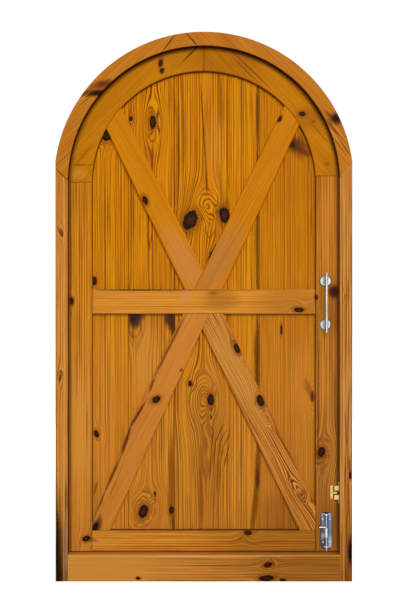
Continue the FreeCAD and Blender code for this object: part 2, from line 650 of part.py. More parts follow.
CATCH_BACK = f"({LEAF_FRONT} - catch_leaf_gap)"
CATCH_FRONT = f"({CATCH_BACK} - catch_depth)"
CATCH_PLATE = f"({OPENING} - catch_plate_thickness)"
CATCH_END = f"({CATCH_PLATE} - catch_reach)"
BALL_X = f"({OPENING} - catch_ball_axis)"
BALL_Y = f"(({CATCH_BACK} + {CATCH_FRONT}) / 2)"
BALL_LIFT = "(tongue_nose / 2 + catch_ball_play + catch_ball_radius)"
BORE_END = "(catch_mouth / 2 + catch_bore_depth)"

small_screw = fastener("small_screw_pattern", "small_screw_radius", "small_screw_length",
                       "small_screw_head_radius", "small_screw_head_height")
small_hole = fastener("small_hole_pattern", "small_screw_radius + screw_play",
                      "small_screw_length + screw_play",
                      "small_screw_head_radius + screw_play", "small_screw_head_height")
CATCH_SCREWS = [
    ((value(CATCH_PLATE), value(BALL_Y),
      value(f"{CATCH_Z} + {end} * (catch_plate_height / 2 - catch_screw_inset)")),
     (-1, 0, 0))
    for end in (-1, 1)
]
catch_holes = copies("catch_holes", small_hole, CATCH_SCREWS)
node(copies("catch_screw_copies", small_screw, CATCH_SCREWS), "catch_case_screws")

case_parts = [block("catch_plate", (CATCH_PLATE, OPENING), (CATCH_FRONT, CATCH_BACK),
                    (f"{CATCH_Z} - catch_plate_height / 2", f"{CATCH_Z} + catch_plate_height / 2"))]
case_bores = [catch_holes]
for end, word in ((-1, "lower"), (1, "upper")):
    near, far = "catch_mouth / 2", "catch_mouth / 2 + catch_block_height"
    above = (f"{CATCH_Z} + {near}", f"{CATCH_Z} + {far}")
    below = (f"{CATCH_Z} - ({far})", f"{CATCH_Z} - {near}")
    case_parts.append(block(f"catch_block_{word}", (CATCH_END, CATCH_PLATE),
                            (CATCH_FRONT, CATCH_BACK), above if end > 0 else below))
    bore_foot = f"{CATCH_Z} - {BORE_END}" if end < 0 else CATCH_Z
    case_bores.append(cylinder(f"catch_bore_{word}", "catch_ball_radius + catch_ball_play", BORE_END,
                               BALL_X, BALL_Y, bore_foot))
    ball = doc.addObject("Part::Sphere", f"catch_ball_{word}")
    bind(ball, Radius="catch_ball_radius")
    place(ball, BALL_X, BALL_Y, f"{CATCH_Z} + {end} * {BALL_LIFT}")
    node(ball, f"catch_{word}_ball")
    ball_back = f"({BALL_LIFT} + catch_ball_radius)"
    spring_foot = f"{CATCH_Z} - {BORE_END}" if end < 0 else f"{CATCH_Z} + {ball_back}"
    outside = cylinder(f"catch_spring_{word}_outside", "catch_spring_radius", f"{BORE_END} - {ball_back}",
                       BALL_X, BALL_Y, spring_foot)
    inside = cylinder(f"catch_spring_{word}_inside", "catch_spring_radius - catch_spring_wire",
                      f"{BORE_END} - {ball_back} + 2 * overrun",
                      BALL_X, BALL_Y, f"{spring_foot} - overrun")
    node(cut(f"catch_spring_{word}_tube", outside, inside), f"catch_{word}_spring")
node(cut("catch_case_cut", join("catch_case_blank", *case_parts), *case_bores), "catch_case")

STRIKE_X = f"({OPENING} - strike_edge_gap)"
STRIKE_FRONT = f"({LEAF_FRONT} - strike_thickness)"
STRIKE_SCREWS = [
    ((value(f"{STRIKE_X} - strike_width / 2"), value(STRIKE_FRONT),
      value(f"{CATCH_Z} + {end} * strike_screw_spacing / 2")),
     (0, -1, 0))
    for end in (-1, 1)
]
strike_holes = copies("strike_holes", small_hole, STRIKE_SCREWS)
node(copies("strike_screw_copies", small_screw, STRIKE_SCREWS), "strike_screws")
waist_back = f"({BALL_Y} + tongue_waist_length / 2)"
waist_front = f"({BALL_Y} - tongue_waist_length / 2)"
step = "(tongue_nose - tongue_waist) / 2"
half_profile = [
    (STRIKE_FRONT, "tongue_nose / 2"), (waist_back, "tongue_nose / 2"),
    (f"{waist_back} - {step}", "tongue_waist / 2"),
    (f"{waist_front} + {step}", "tongue_waist / 2"), (waist_front, "tongue_nose / 2"),
    (f"{waist_front} - tongue_tip + tongue_bevel", "tongue_nose / 2"),
    (f"{waist_front} - tongue_tip", "tongue_nose / 2 - tongue_bevel"),
]
upper_profile = [(across, f"{CATCH_Z} + {up}") for across, up in half_profile]
lower_profile = [(across, f"{CATCH_Z} - ({up})") for across, up in reversed(half_profile)]
tongue = slab("strike_tongue", "YZ_Plane", upper_profile + lower_profile, STRIKE_X,
              f"{OPENING} - tongue_end_gap")
arm = block("strike_arm", (f"{STRIKE_X} - strike_width", f"{OPENING} - tongue_end_gap"),
            (STRIKE_FRONT, LEAF_FRONT), (f"{CATCH_Z} - tongue_nose / 2", f"{CATCH_Z} + tongue_nose / 2"))
bar = block("strike_bar", (f"{STRIKE_X} - strike_width", STRIKE_X), (STRIKE_FRONT, LEAF_FRONT),
            (f"{CATCH_Z} - strike_height / 2", f"{CATCH_Z} + strike_height / 2"))
node(cut("strike_cut", join("strike_blank", tongue, arm, bar), strike_holes), "catch_strike")

jamb("left", -1, "left_mitre_rise", *hinge_recesses("jamb", -1), hinge_holes["jamb"])
jamb("right", 1, "right_mitre_rise", catch_holes)

# The leaf's frame: stiles, arch rails, ledges. Its dowels and the boards' nails come first

STILE_MIDDLE = f"({LEAF_HALF} - stile_width / 2)"
LEAF_DOWELS = []
for sign, rise in ((-1, "0"), (1, "right_rail_rise")):
    for side in (-1, 1):
        x = f"{sign} * {STILE_MIDDLE} + {side} * stile_width / 4"
        LEAF_DOWELS.append(((value(x), value(RAIL_AXIS_Y), value(f"{SPRING} + {rise}")), (0, 0, 1)))
for side in (-1, 1):
    z = value(f"{SPRING} + {STILE_MIDDLE} + {side} * stile_width / 4")
    LEAF_DOWELS.append(((0, value(RAIL_AXIS_Y), z), (1, 0, 0)))
leaf_dowel_holes = copies("leaf_dowel_holes", dowel_hole, LEAF_DOWELS)
node(copies("leaf_dowel_copies", dowel, LEAF_DOWELS), "leaf_dowels")


def rail_tenons(label, low, high, play="0"):
    """Two tenons, or the mortises for them when they are given some play."""
    middle = RAIL_AXIS_Y
    depth = (f"{middle} - tenon_thickness / 2 - {play}", f"{middle} + tenon_thickness / 2 + {play}")
    height = (f"{low} + tenon_shoulder - {play}", f"{high} - tenon_shoulder + {play}")
    reach = f"{PANEL} + tenon_length + {play}"
    return [block(f"{label}_left", (f"-({reach})", f"-{PANEL}"), depth, height),
            block(f"{label}_right", (PANEL, reach), depth, height)]


RAILS = {
    "middle_rail": ("middle_rail_bottom", RAIL_MIDDLE),
    "bottom_rail": (LEAF_BOTTOM, BOTTOM_RAIL_TOP),
}
mortises = [rail_tenons(label + "_mortise", low, high, "tenon_play")
            for label, (low, high) in RAILS.items()]
left_mortises = [pair[0] for pair in mortises]
right_mortises = [pair[1] for pair in mortises]

PULL_PLACES = [((value(PULL_X), value(LEAF_BACK), value(f"{PULL_Z} + {end} * pull_centres / 2")),
                (0, 1, 0))
               for end in (-1, 1)]
pull_bolt_length = "(leaf_thickness + pull_bolt_engagement)"
pull_bolt = fastener("pull_bolt_pattern", "pull_bolt_radius", pull_bolt_length,
                     "pull_bolt_head_radius", "pull_bolt_head_height")
pull_hole = fastener("pull_hole_pattern", "pull_bolt_radius + screw_play",
                     f"{pull_bolt_length} + screw_play",
                     "pull_bolt_head_radius + screw_play", "pull_bolt_head_height")
pull_holes = copies("pull_holes", pull_hole, PULL_PLACES)
node(copies("pull_bolt_copies", pull_bolt, PULL_PLACES), "pull_bolts")

BOLT_PLATE_FOOT = f"({LEAF_BOTTOM} + bolt_plate_rise)"
BOLT_SCREWS = [
    ((value(f"{BOLT_X} + {side} * bolt_screw_spacing / 2"), value(BOLT_PLATE_FRONT), value(height)),
     (0, -1, 0))
    for side in (-1, 1)
    for height in (f"{BOLT_PLATE_FOOT} + bolt_screw_inset",
                   f"{BOLT_PLATE_FOOT} + bolt_plate_height - bolt_screw_inset")
]
bolt_screw = fastener("bolt_screw_pattern", "bolt_screw_radius", "bolt_screw_length",
                      "bolt_screw_head_radius", "bolt_screw_head_height")
bolt_hole = fastener("bolt_hole_pattern", "bolt_screw_radius + screw_play",
                     "bolt_screw_length + screw_play",
                     "bolt_screw_head_radius + screw_play", "bolt_screw_head_height")
bolt_holes = copies("bolt_holes", bolt_hole, BOLT_SCREWS)
node(copies("bolt_screw_copies", bolt_screw, BOLT_SCREWS), "bolt_screws")


def stile(side, sign, rise, *tools):
    """L-shaped section: full depth outside, with the boards' housing behind its inner edge."""
    points = [
        (f"{sign} * {LEAF_HALF}", LEAF_FRONT),
        (f"{sign} * ({PANEL} + leaf_arris_width)", LEAF_FRONT),
        (f"{sign} * {PANEL}", f"{LEAF_FRONT} + leaf_arris_width"),
        (f"{sign} * {PANEL}", BOARD_FRONT),
        (f"{sign} * {HOUSING}", BOARD_FRONT),
        (f"{sign} * {HOUSING}", LEAF_BACK),
        (f"{sign} * {LEAF_HALF}", LEAF_BACK),
    ]
    blank = slab(f"{side}_stile_blank", "XY_Plane", points, LEAF_BOTTOM, f"{SPRING} + {rise}")
    return node(cut(f"{side}_stile_cut", blank, leaf_dowel_holes, *tools), f"{side}_stile")


stile("left", -1, "0", *left_mortises, *hinge_recesses("stile", 1), hinge_holes["stile"])
stile("right", 1, "right_rail_rise", *right_mortises, pull_holes, bolt_holes, strike_holes)

rail_section = [
    (LEAF_FRONT, f"{PANEL} + leaf_arris_width"), (f"{LEAF_FRONT} + leaf_arris_width", PANEL),
    (BOARD_FRONT, PANEL),
    (BOARD_FRONT, HOUSING), (LEAF_BACK, HOUSING), (LEAF_BACK, LEAF_HALF), (LEAF_FRONT, LEAF_HALF),
]
left_quarter = arch("arch_rail_left_blank", rail_section, 90, SPRING, reverse=True)
node(cut("arch_rail_left_cut", left_quarter, leaf_dowel_holes), "arch_rail_left")
right_quarter = arch("arch_rail_right_blank", rail_section, 90, SPRING)
packing = block("arch_rail_right_foot", ("0", HALF_WIDTH), (FRONT, f"{BACK} + overrun"),
                (f"{SPRING} - overrun", f"{SPRING} + right_rail_rise"))
node(cut("arch_rail_right_cut", right_quarter, packing, leaf_dowel_holes), "arch_rail_right")

# Boards, tongued and grooved, cut to the round head and nailed to both ledges

board_sheet = join("board_outline",
                   cylinder("board_head", BOARD_EDGE, "leaf_thickness", y=LEAF_BACK, z=SPRING,
                            turn=TOWARDS_VIEWER),
                   block("board_body", (f"-{BOARD_EDGE}", BOARD_EDGE), (LEAF_FRONT, LEAF_BACK),
                         (LEAF_BOTTOM, SPRING)))
SEAM_GAPS = ["seam_gap", "seam_gap", "seam_gap", "open_seam_gap", "seam_gap"]
BOARD_COUNT = len(SEAM_GAPS) + 1
NAIL_HEIGHTS = [height for low, high in RAILS.values()
                for height in (f"{low} + nail_rail_inset", f"{high} - nail_rail_inset")]
nail = fastener("nail_pattern", "nail_radius", "nail_length", "nail_head_radius", "nail_head_thickness")
place(nail, z="-nail_head_thickness")
nail_hole = fastener("nail_hole_pattern", "nail_radius + screw_play", "nail_length + screw_play",
                     "nail_head_radius + screw_play", "nail_head_thickness")
place(nail_hole, z="-nail_head_thickness")
nail_places = []
TONGUE_BACK = f"(({BOARD_FRONT} + {LEAF_BACK} + tongue_thickness) / 2)"
TONGUE_FRONT = f"({TONGUE_BACK} - tongue_thickness)"


def board_section(left, right, grooved, tongued):
    """Section of one board: a V at each seam, a groove on its left and a tongue on its right."""
    points = [(right, LEAF_BACK), (left, LEAF_BACK)]
    if grooved:
        floor = f"{left} + tongue_length + tongue_play"
        points += [(left, f"{TONGUE_BACK} + tongue_play"), (floor, f"{TONGUE_BACK} + tongue_play"),
                   (floor, f"{TONGUE_FRONT} - tongue_play"), (left, f"{TONGUE_FRONT} - tongue_play"),
                   (left, f"{BOARD_FRONT} + seam_chamfer"), (f"{left} + seam_chamfer", BOARD_FRONT)]
    else:
        points += [(left, BOARD_FRONT)]
    if tongued:
        tip = f"{right} + tongue_length"
        points += [(f"{right} - seam_chamfer", BOARD_FRONT), (right, f"{BOARD_FRONT} + seam_chamfer"),
                   (right, TONGUE_FRONT), (tip, TONGUE_FRONT), (tip, TONGUE_BACK), (right, TONGUE_BACK)]
    else:
        points += [(right, BOARD_FRONT)]
    return points


seams = [f"(2 * {share} - 1) * {BOARD_EDGE}" for share in SEAM_SHARES]
lefts = [f"-{BOARD_EDGE}"] + [f"{seam} + {gap} / 2" for seam, gap in zip(seams, SEAM_GAPS)]
rights = [f"{seam} - {gap} / 2" for seam, gap in zip(seams, SEAM_GAPS)] + [BOARD_EDGE]
for number, (left, right) in enumerate(zip(lefts, rights), start=1):
    outline = board_section(left, right, number > 1, number < BOARD_COUNT)
    strip = slab(f"board_{number}_strip", "XY_Plane", outline, LEAF_BOTTOM, f"{SPRING} + {BOARD_EDGE}")
    spots = [((value(x), value(LEAF_BACK), value(height)), (0, 1, 0))
             for x in (f"{left} + nail_inset", f"{right} - nail_inset") for height in NAIL_HEIGHTS]
    nail_places += spots
    holes = copies(f"board_{number}_nail_holes", nail_hole, spots)
    node(cut(f"board_{number}_cut", shared(f"board_{number}_shape", strip, board_sheet), holes),
         f"board_{number}")

node(copies("nail_copies", nail, nail_places), "board_nails")
all_nail_holes = copies("all_nail_holes", nail_hole, nail_places)


def ledge(label, low, high):
    """A rail across the boards, chamfered on its front arrises, with a tenon at each end."""
    behind = f"{LEAF_FRONT} + leaf_arris_width"
    section = [
        (behind, low),
        (BOARD_FRONT, low),
        (BOARD_FRONT, high),
        (behind, high),
        (LEAF_FRONT, f"{high} - leaf_arris_width"),
        (LEAF_FRONT, f"{low} + leaf_arris_width"),
    ]
    body = slab(label + "_body", "YZ_Plane", section, f"-{PANEL}", PANEL)
    whole = join(label + "_blank", body, *rail_tenons(label + "_tenon", low, high))
    return node(cut(label + "_cut", whole, all_nail_holes, bolt_holes), label)


for label, (low, high) in RAILS.items():
    ledge(label, low, high)


# Braces: each lies on the boards, flush with the ledges. In each pair one runs through
# and the other butts against it; all are trimmed by the opening that the stiles, ledges and arch leave

def carried_on(start, end):
    """A point past the end of an edge, in line with it, so that the opening trims the brace."""
    return tuple(f"({last}) + (({last}) - ({first})) * {BEYOND_SHARE}" for first, last in zip(start, end))


def leaning_edges(item, depth):
    """The edges of the front face that run along the brace, and not its ends."""
    doc.recompute()
    level = value(depth)
    found = []
    for number, edge in enumerate(item.Shape.Edges, start=1):
        first, last = edge.Vertexes[0].Point, edge.Vertexes[-1].Point
        on_face = max(abs(first.y - level), abs(last.y - level)) < NEARLY_ZERO
        straight = edge.Curve.TypeId == "Part::GeomLine"
        leaning = min(abs(first.x - last.x), abs(first.z - last.z)) > NEARLY_ZERO
        if on_face and straight and leaning:
            found.append(number)
    return found


def brace(label, points, opening, partner=None):
    plank = slab(label + "_plank", "XZ_Plane", points, LEAF_FRONT, BOARD_FRONT)
    shape = shared(label + "_trimmed", plank, opening)
    if partner:
        shape = cut(label + "_butted", shape, partner)
    softened = doc.addObject("Part::Chamfer", label + "_softened")
    softened.Base = shape
    width = value("leaf_arris_width")
    softened.Edges = [(number, width, width) for number in leaning_edges(shape, LEAF_FRONT)]
    return node(softened, label)


def on_arch(sign, angle):
    """A point of the arch rail's inner edge, at an angle from the crown."""
    return f"{sign} * {PANEL} * sin({angle})", f"{SPRING} + {PANEL} * cos({angle})"


opening_head = cylinder("opening_head", PANEL, "leaf_thickness", y=LEAF_BACK, z=SPRING,
                        turn=TOWARDS_VIEWER)
opening_body = block("opening_body", (f"-{PANEL}", PANEL), (LEAF_FRONT, LEAF_BACK),
                     (BOTTOM_RAIL_TOP, SPRING))
upper_opening = join("upper_opening", opening_head, opening_body)
lower_opening = block("lower_opening", (f"-{PANEL}", PANEL), (LEAF_FRONT, LEAF_BACK),
                      (BOTTOM_RAIL_TOP, "middle_rail_bottom"))

through_foot = ("upper_right_foot_x", RAIL_MIDDLE)
through_top = carried_on(through_foot, on_arch(1, "upper_right_inner_angle"))
upper_partner = slab("upper_partner", "XZ_Plane", [
    through_foot, (f"{PANEL} + overrun", RAIL_MIDDLE), (f"{PANEL} + overrun", through_top[1]),
    through_top,
], f"{LEAF_FRONT} - overrun", f"{LEAF_BACK} + overrun")
left_foot = ("upper_left_foot_x", RAIL_MIDDLE)
left_head = ("upper_left_head_x", RAIL_MIDDLE)
brace("brace_upper_left", [
    left_foot, left_head,
    carried_on(left_head, on_arch(-1, "upper_left_inner_angle")),
    carried_on(left_foot, on_arch(-1, "upper_left_outer_angle")),
], upper_opening, upper_partner)
right_head = ("upper_right_head_x", RAIL_MIDDLE)
brace("brace_upper_right", [
    through_foot, right_head,
    carried_on(right_head, on_arch(1, "upper_right_outer_angle")),
    through_top,
], upper_opening)

through_head = ("lower_left_head_x", "middle_rail_bottom")
through_heel = carried_on(through_head, (f"lower_left_heel - {PANEL}", BOTTOM_RAIL_TOP))
edge_head = ("lower_left_edge_x", "middle_rail_bottom")
edge_toe = (f"-{PANEL}", f"{BOTTOM_RAIL_TOP} + lower_left_toe_rise")
wane = (f"lower_left_edge_x - ({PANEL} + lower_left_edge_x) * {WANE_SHARE} - lower_left_wane",
        f"middle_rail_bottom - (middle_rail_bottom - ({edge_toe[1]})) * {WANE_SHARE}")
past_toe = (f"-{PANEL} - overrun", f"{edge_toe[1]} - overrun")
brace("brace_lower_left", [
    edge_head, wane, edge_toe, past_toe, (past_toe[0], through_heel[1]), through_heel, through_head,
], lower_opening)
lower_partner = slab("lower_partner", "XZ_Plane", [
    through_head, (f"-{PANEL} - overrun", "middle_rail_bottom"),
    (f"-{PANEL} - overrun", through_heel[1]), through_heel,
], f"{LEAF_FRONT} - overrun", f"{LEAF_BACK} + overrun")
butt_head = ("lower_right_edge_x", "middle_rail_bottom")
outer_head = ("lower_right_head_x", "middle_rail_bottom")
butt_heel = carried_on(butt_head, (f"{PANEL} - lower_right_heel", BOTTOM_RAIL_TOP))
outer_toe = carried_on(outer_head, (PANEL, f"{BOTTOM_RAIL_TOP} + lower_right_toe_rise"))
brace("brace_lower_right", [
    outer_head, butt_head, butt_heel, (outer_toe[0], butt_heel[1]), outer_toe,
], lower_opening, lower_partner)

# Bar pull: a round bar on two posts, each through a rose, bolted from the far side

BAR_Y = f"({LEAF_FRONT} - pull_projection)"
pull_bar = lathe("pull_bar_body", [
    ("0", "-pull_bar_length / 2"), ("pull_bar_radius - pull_bar_chamfer", "-pull_bar_length / 2"),
    ("pull_bar_radius", "-pull_bar_length / 2 + pull_bar_chamfer"),
    ("pull_bar_radius", "pull_bar_length / 2 - pull_bar_chamfer"),
    ("pull_bar_radius - pull_bar_chamfer", "pull_bar_length / 2"), ("0", "pull_bar_length / 2"),
])
place(pull_bar, PULL_X, BAR_Y, PULL_Z)
node(pull_bar, "pull_bar")
bar_space = cylinder("pull_bar_space", "pull_bar_radius", "pull_bar_length", PULL_X, BAR_Y,
                     f"{PULL_Z} - pull_bar_length / 2")
for end, word in ((-1, "lower"), (1, "upper")):
    height = f"{PULL_Z} + {end} * pull_centres / 2"
    post = cylinder(f"pull_post_{word}_blank", "pull_post_radius", "pull_projection", PULL_X, LEAF_FRONT,
                    height, TOWARDS_VIEWER)
    node(cut(f"pull_post_{word}_cut", post, bar_space, pull_holes), f"pull_post_{word}")
    rose = lathe(f"pull_rose_{word}_body", [
        ("pull_post_radius + screw_play", "0"), ("pull_rose_radius", "0"),
        ("pull_rose_radius", "pull_rose_height - pull_rose_edge"),
        ("pull_rose_radius - pull_rose_edge", "pull_rose_height"),
        ("pull_post_radius + screw_play", "pull_rose_height"),
    ])
    place(rose, PULL_X, LEAF_FRONT, height, TOWARDS_VIEWER)
    node(rose, f"pull_rose_{word}")

# Barrel bolt: a plate, two staples and a slotted barrel that guide a rod with a side arm

plate = slab("bolt_plate_body", "XZ_Plane", rectangle(
    f"{BOLT_X} - bolt_plate_width / 2", f"{BOLT_X} + bolt_plate_width / 2",
    BOLT_PLATE_FOOT, f"{BOLT_PLATE_FOOT} + bolt_plate_height"), BOLT_PLATE_FRONT, LEAF_FRONT)
doc.recompute()
corners = [f"Edge{number}" for number, edge in enumerate(plate.Shape.Edges, start=1)
           if edge.BoundBox.XLength < NEARLY_ZERO and edge.BoundBox.ZLength < NEARLY_ZERO]
pad = plate.Tip
rounding = plate.newObject("PartDesign::Fillet", "bolt_plate_corners")
rounding.Base = (pad, corners)
bind(rounding, Radius="bolt_plate_corner")
node(cut("bolt_plate_cut", plate, bolt_holes), "bolt_plate")

ROD_TIP = "(threshold_height + bolt_tip_gap)"
ARM_Z = f"({ROD_TIP} + bolt_arm_rise)"
rod_shank = lathe("bolt_rod_shank", [
    ("0", "0"), ("bolt_rod_radius - bolt_tip_chamfer", "0"), ("bolt_rod_radius", "bolt_tip_chamfer"),
    ("bolt_rod_radius", "bolt_rod_length - bolt_tip_chamfer"),
    ("bolt_rod_radius - bolt_tip_chamfer", "bolt_rod_length"), ("0", "bolt_rod_length"),
])
place(rod_shank, BOLT_X, ROD_Y, ROD_TIP)
rod_arm = cylinder("bolt_arm", "bolt_arm_radius", "bolt_arm_reach + bolt_knob_length / 2", BOLT_X,
                   ROD_Y, ARM_Z,
                   TOWARDS_LEFT)
rod_knob = cylinder("bolt_knob", "bolt_knob_radius", "bolt_knob_length", f"{BOLT_X} - bolt_arm_reach",
                    ROD_Y, ARM_Z,
                    TOWARDS_LEFT)
node(join("bolt_rod_whole", rod_shank, rod_arm, rod_knob), "bolt_rod")

INNER = "(bolt_rod_radius + bolt_rod_play)"
OUTER = f"({INNER} + guide_wall)"


def guide(label, low, high, slot=None):
    """A strap over the rod with a foot on each side, bedded on the plate."""
    length = f"({high}) - ({low})"
    hoop = cylinder(label + "_hoop", OUTER, length, BOLT_X, ROD_Y, low)
    wall = block(label + "_wall", (f"{BOLT_X} - {OUTER}", f"{BOLT_X} + {OUTER}"),
                 (ROD_Y, BOLT_PLATE_FRONT), (low, high))
    reach = f"{OUTER} + guide_foot_width"
    feet = block(label + "_feet", (f"{BOLT_X} - ({reach})", f"{BOLT_X} + ({reach})"),
                 (f"{BOLT_PLATE_FRONT} - guide_foot_thickness", BOLT_PLATE_FRONT), (low, high))
    beyond = (f"{low} - overrun", f"{high} + overrun")
    bore = cylinder(label + "_bore", INNER, f"{length} + 2 * overrun", BOLT_X, ROD_Y, beyond[0])
    channel = block(label + "_channel", (f"{BOLT_X} - {INNER}", f"{BOLT_X} + {INNER}"),
                    (ROD_Y, f"{BOLT_PLATE_FRONT} + overrun"), beyond)
    tools = [bore, channel] + ([slot] if slot else [])
    return cut(label + "_cut", join(label + "_blank", hoop, wall, feet), *tools)


BARREL_TOP = f"({ARM_Z} - bolt_arm_radius - barrel_arm_gap)"
slot_half = "(bolt_arm_radius + barrel_slot_play)"
arm_slot = block("barrel_slot", (f"{BOLT_X} - {OUTER} - overrun", BOLT_X),
                 (f"{ROD_Y} - {slot_half}", f"{BOLT_PLATE_FRONT} - guide_foot_thickness"),
                 (f"{ARM_Z} - bolt_throw - {slot_half}", f"{BARREL_TOP} + overrun"))
node(guide("bolt_barrel", f"{BARREL_TOP} - barrel_length", BARREL_TOP, arm_slot), "bolt_barrel")
plate_top = f"({BOLT_PLATE_FOOT} + bolt_plate_height)"
node(guide("staple_lower", f"{BOLT_PLATE_FOOT} + staple_inset",
           f"{BOLT_PLATE_FOOT} + staple_inset + staple_length"),
     "bolt_staple_lower")
node(guide("staple_upper", f"{plate_top} - staple_inset - staple_length", f"{plate_top} - staple_inset"),
     "bolt_staple_upper")


# Every object is checked before anything is written

doc.recompute()
failed = [item.Name for item in doc.Objects if {"Invalid", "Error"} & set(item.State)]
if failed:
    raise SystemExit(f"failed: {failed}")
for item in NODES:
    if item.Shape.isNull() or not item.Shape.isValid():
        raise SystemExit(f"no valid shape: {item.Label}")

os.makedirs("parts", exist_ok=True)
for item in NODES:
    item.Shape.exportStep(f"parts/{item.Label}.step")
    box = item.Shape.BoundBox
    print(f"{item.Label}: {len(item.Shape.Solids)} solids, {item.Shape.Volume:.0f} mm3, "
          f"x {box.XMin:.1f} {box.XMax:.1f}, y {box.YMin:.1f} {box.YMax:.1f}, "
          f"z {box.ZMin:.1f} {box.ZMax:.1f}")
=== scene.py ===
"""A round-headed pine door in its frame, dressed over its fixed model.

Lengths in the tables are millimetres, read as the photograph is: x to the right, z up.
"""

import math

import bpy
from mathutils import Matrix, Vector


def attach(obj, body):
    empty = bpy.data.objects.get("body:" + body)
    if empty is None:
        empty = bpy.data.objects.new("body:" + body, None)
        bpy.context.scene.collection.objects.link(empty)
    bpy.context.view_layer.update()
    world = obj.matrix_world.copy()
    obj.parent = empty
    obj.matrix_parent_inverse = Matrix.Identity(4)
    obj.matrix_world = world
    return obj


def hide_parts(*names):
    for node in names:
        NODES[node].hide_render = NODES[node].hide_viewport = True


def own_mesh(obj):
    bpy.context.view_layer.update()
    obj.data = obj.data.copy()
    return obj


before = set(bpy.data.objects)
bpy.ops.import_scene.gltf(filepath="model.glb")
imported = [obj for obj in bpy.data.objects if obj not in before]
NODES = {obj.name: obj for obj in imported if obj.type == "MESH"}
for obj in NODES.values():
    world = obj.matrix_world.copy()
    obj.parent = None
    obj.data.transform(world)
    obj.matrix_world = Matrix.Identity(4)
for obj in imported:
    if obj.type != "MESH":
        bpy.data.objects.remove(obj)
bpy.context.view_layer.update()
MM = 0.001
bpy.ops.object.select_all(action="DESELECT")

# --- View ---------------------------------------------------------------------------------
# The photograph was taken square on from about the height of the leaf's middle rail, a few
# steps away, with no turn or tilt. The frame's height sets the distance.
LENS = 64.7
VIEWPOINT = (0.0004, -4.0425, 1.002)

bpy.ops.object.camera_add(location=VIEWPOINT, rotation=(math.pi / 2, 0, 0))
camera = bpy.context.object
camera.name = "photograph_view"
camera.data.sensor_fit = "VERTICAL"
camera.data.sensor_height = 36
camera.data.lens = LENS
bpy.context.scene.camera = camera
bpy.context.scene.view_settings.view_transform = "Standard"

# --- Floor and light ----------------------------------------------------------------------
# A pale studio: soft white light all round and a broad soft lamp high in front, so the
# reveal of the arch lies in shade, and another behind. What the camera sees past the door
# is plain white.
ROOM_LIGHT = 0.24
SEEN_LIGHT = 1.0
FLOOR_SIZE = 60
FLOOR_TONE = 0.42
FLOOR_GLOW = 0.97


class Field:
    """A number, colour or place that varies over a surface, as one node socket."""

    def __init__(self, socket):
        self.socket = socket

    def node(self, kind, settings=None, inputs=None, output=0):
        """Add a node to this one's tree: its settings first, then its values and links."""
        tree = self.socket.id_data
        made = tree.nodes.new(kind)
        for setting, choice in (settings or {}).items():
            setattr(made, setting, choice)
        for slot, given in (inputs or {}).items():
            if isinstance(given, Field):
                tree.links.new(given.socket, made.inputs[slot])
            else:
                made.inputs[slot].default_value = given
        return Field(made.outputs[output])

    def feeds(self, shader, slot):
        """Link this to a socket of a shader."""
        self.socket.id_data.links.new(self.socket, shader.inputs[slot])

    def maths(self, operation, *terms):
        """A Math node on these numbers and fields."""
        return self.node("ShaderNodeMath", {"operation": operation}, dict(enumerate(terms)))

    def __add__(self, other):
        return self.maths("ADD", self, other)

    def __radd__(self, other):
        return self.maths("ADD", other, self)

    def __sub__(self, other):
        return self.maths("SUBTRACT", self, other)

    def __rsub__(self, other):
        return self.maths("SUBTRACT", other, self)

    def __mul__(self, other):
        return self.maths("MULTIPLY", self, other)

    def __rmul__(self, other):
        return self.maths("MULTIPLY", other, self)

    def __truediv__(self, other):
        return self.maths("DIVIDE", self, other)

    def __rtruediv__(self, other):
        return self.maths("DIVIDE", other, self)

    def __abs__(self):
        return self.maths("ABSOLUTE", self)

    def larger(self, other):
        return self.maths("MAXIMUM", self, other)

    def smaller(self, other):
        return self.maths("MINIMUM", self, other)

    def root(self):
        return self.maths("SQRT", self)

    def step(self, low, high, first=0.0, last=1.0):
        """A smooth step, by default from 0 at low to 1 at high."""
        return self.node(
            "ShaderNodeMapRange",
            {"interpolation_type": "SMOOTHSTEP"},
            {0: self, 1: low, 2: high, 3: first, 4: last},
        )

    def fade(self, low, high):
        """A smooth step from 1 at low to 0 at high."""
        return self.step(low, high, 1.0, 0.0)

    def vector(self, operation, *terms, output=0):
        """Vector Math; output 1 is the number that a length or a dot product gives."""
        return self.node(
            "ShaderNodeVectorMath", {"operation": operation}, dict(enumerate(terms)), output
        )

    def length(self):
        return self.vector("LENGTH", self, output=1)

    def parts(self):
        """The x, y and z of a place."""
        split = self.node("ShaderNodeSeparateXYZ", inputs={0: self})
        return [Field(socket) for socket in split.socket.node.outputs]

    def noise(self, stretch, detail=2.0, rough=0.5):
        """Noise from 0 to 1 on this place, stretched by three factors."""
        stretched = self.vector("MULTIPLY", self, stretch)
        given = {"Vector": stretched, "Scale": 1.0, "Detail": detail, "Roughness": rough}
        return self.node("ShaderNodeTexNoise", inputs=given)

    def mixed(self, bare, full, kind="MIX"):
        """The colour bare where this is 0 and full where it is 1."""
        settings = {"data_type": "RGBA", "blend_type": kind}
        return self.node("ShaderNodeMix", settings, {0: self, 6: bare, 7: full}, output=2)


world = bpy.data.worlds.new("soft_studio")
bpy.context.scene.world = world
world.use_nodes = True
sky = world.node_tree.nodes["Background"]
path = world.node_tree.nodes.new("ShaderNodeLightPath")
seen = Field(path.outputs["Is Camera Ray"]).larger(Field(path.outputs["Is Glossy Ray"]))
seen = seen.larger(Field(path.outputs["Is Transmission Ray"]))
sky.inputs["Color"].default_value = (1, 1, 1, 1)
(ROOM_LIGHT + seen * (SEEN_LIGHT - ROOM_LIGHT)).feeds(sky, "Strength")

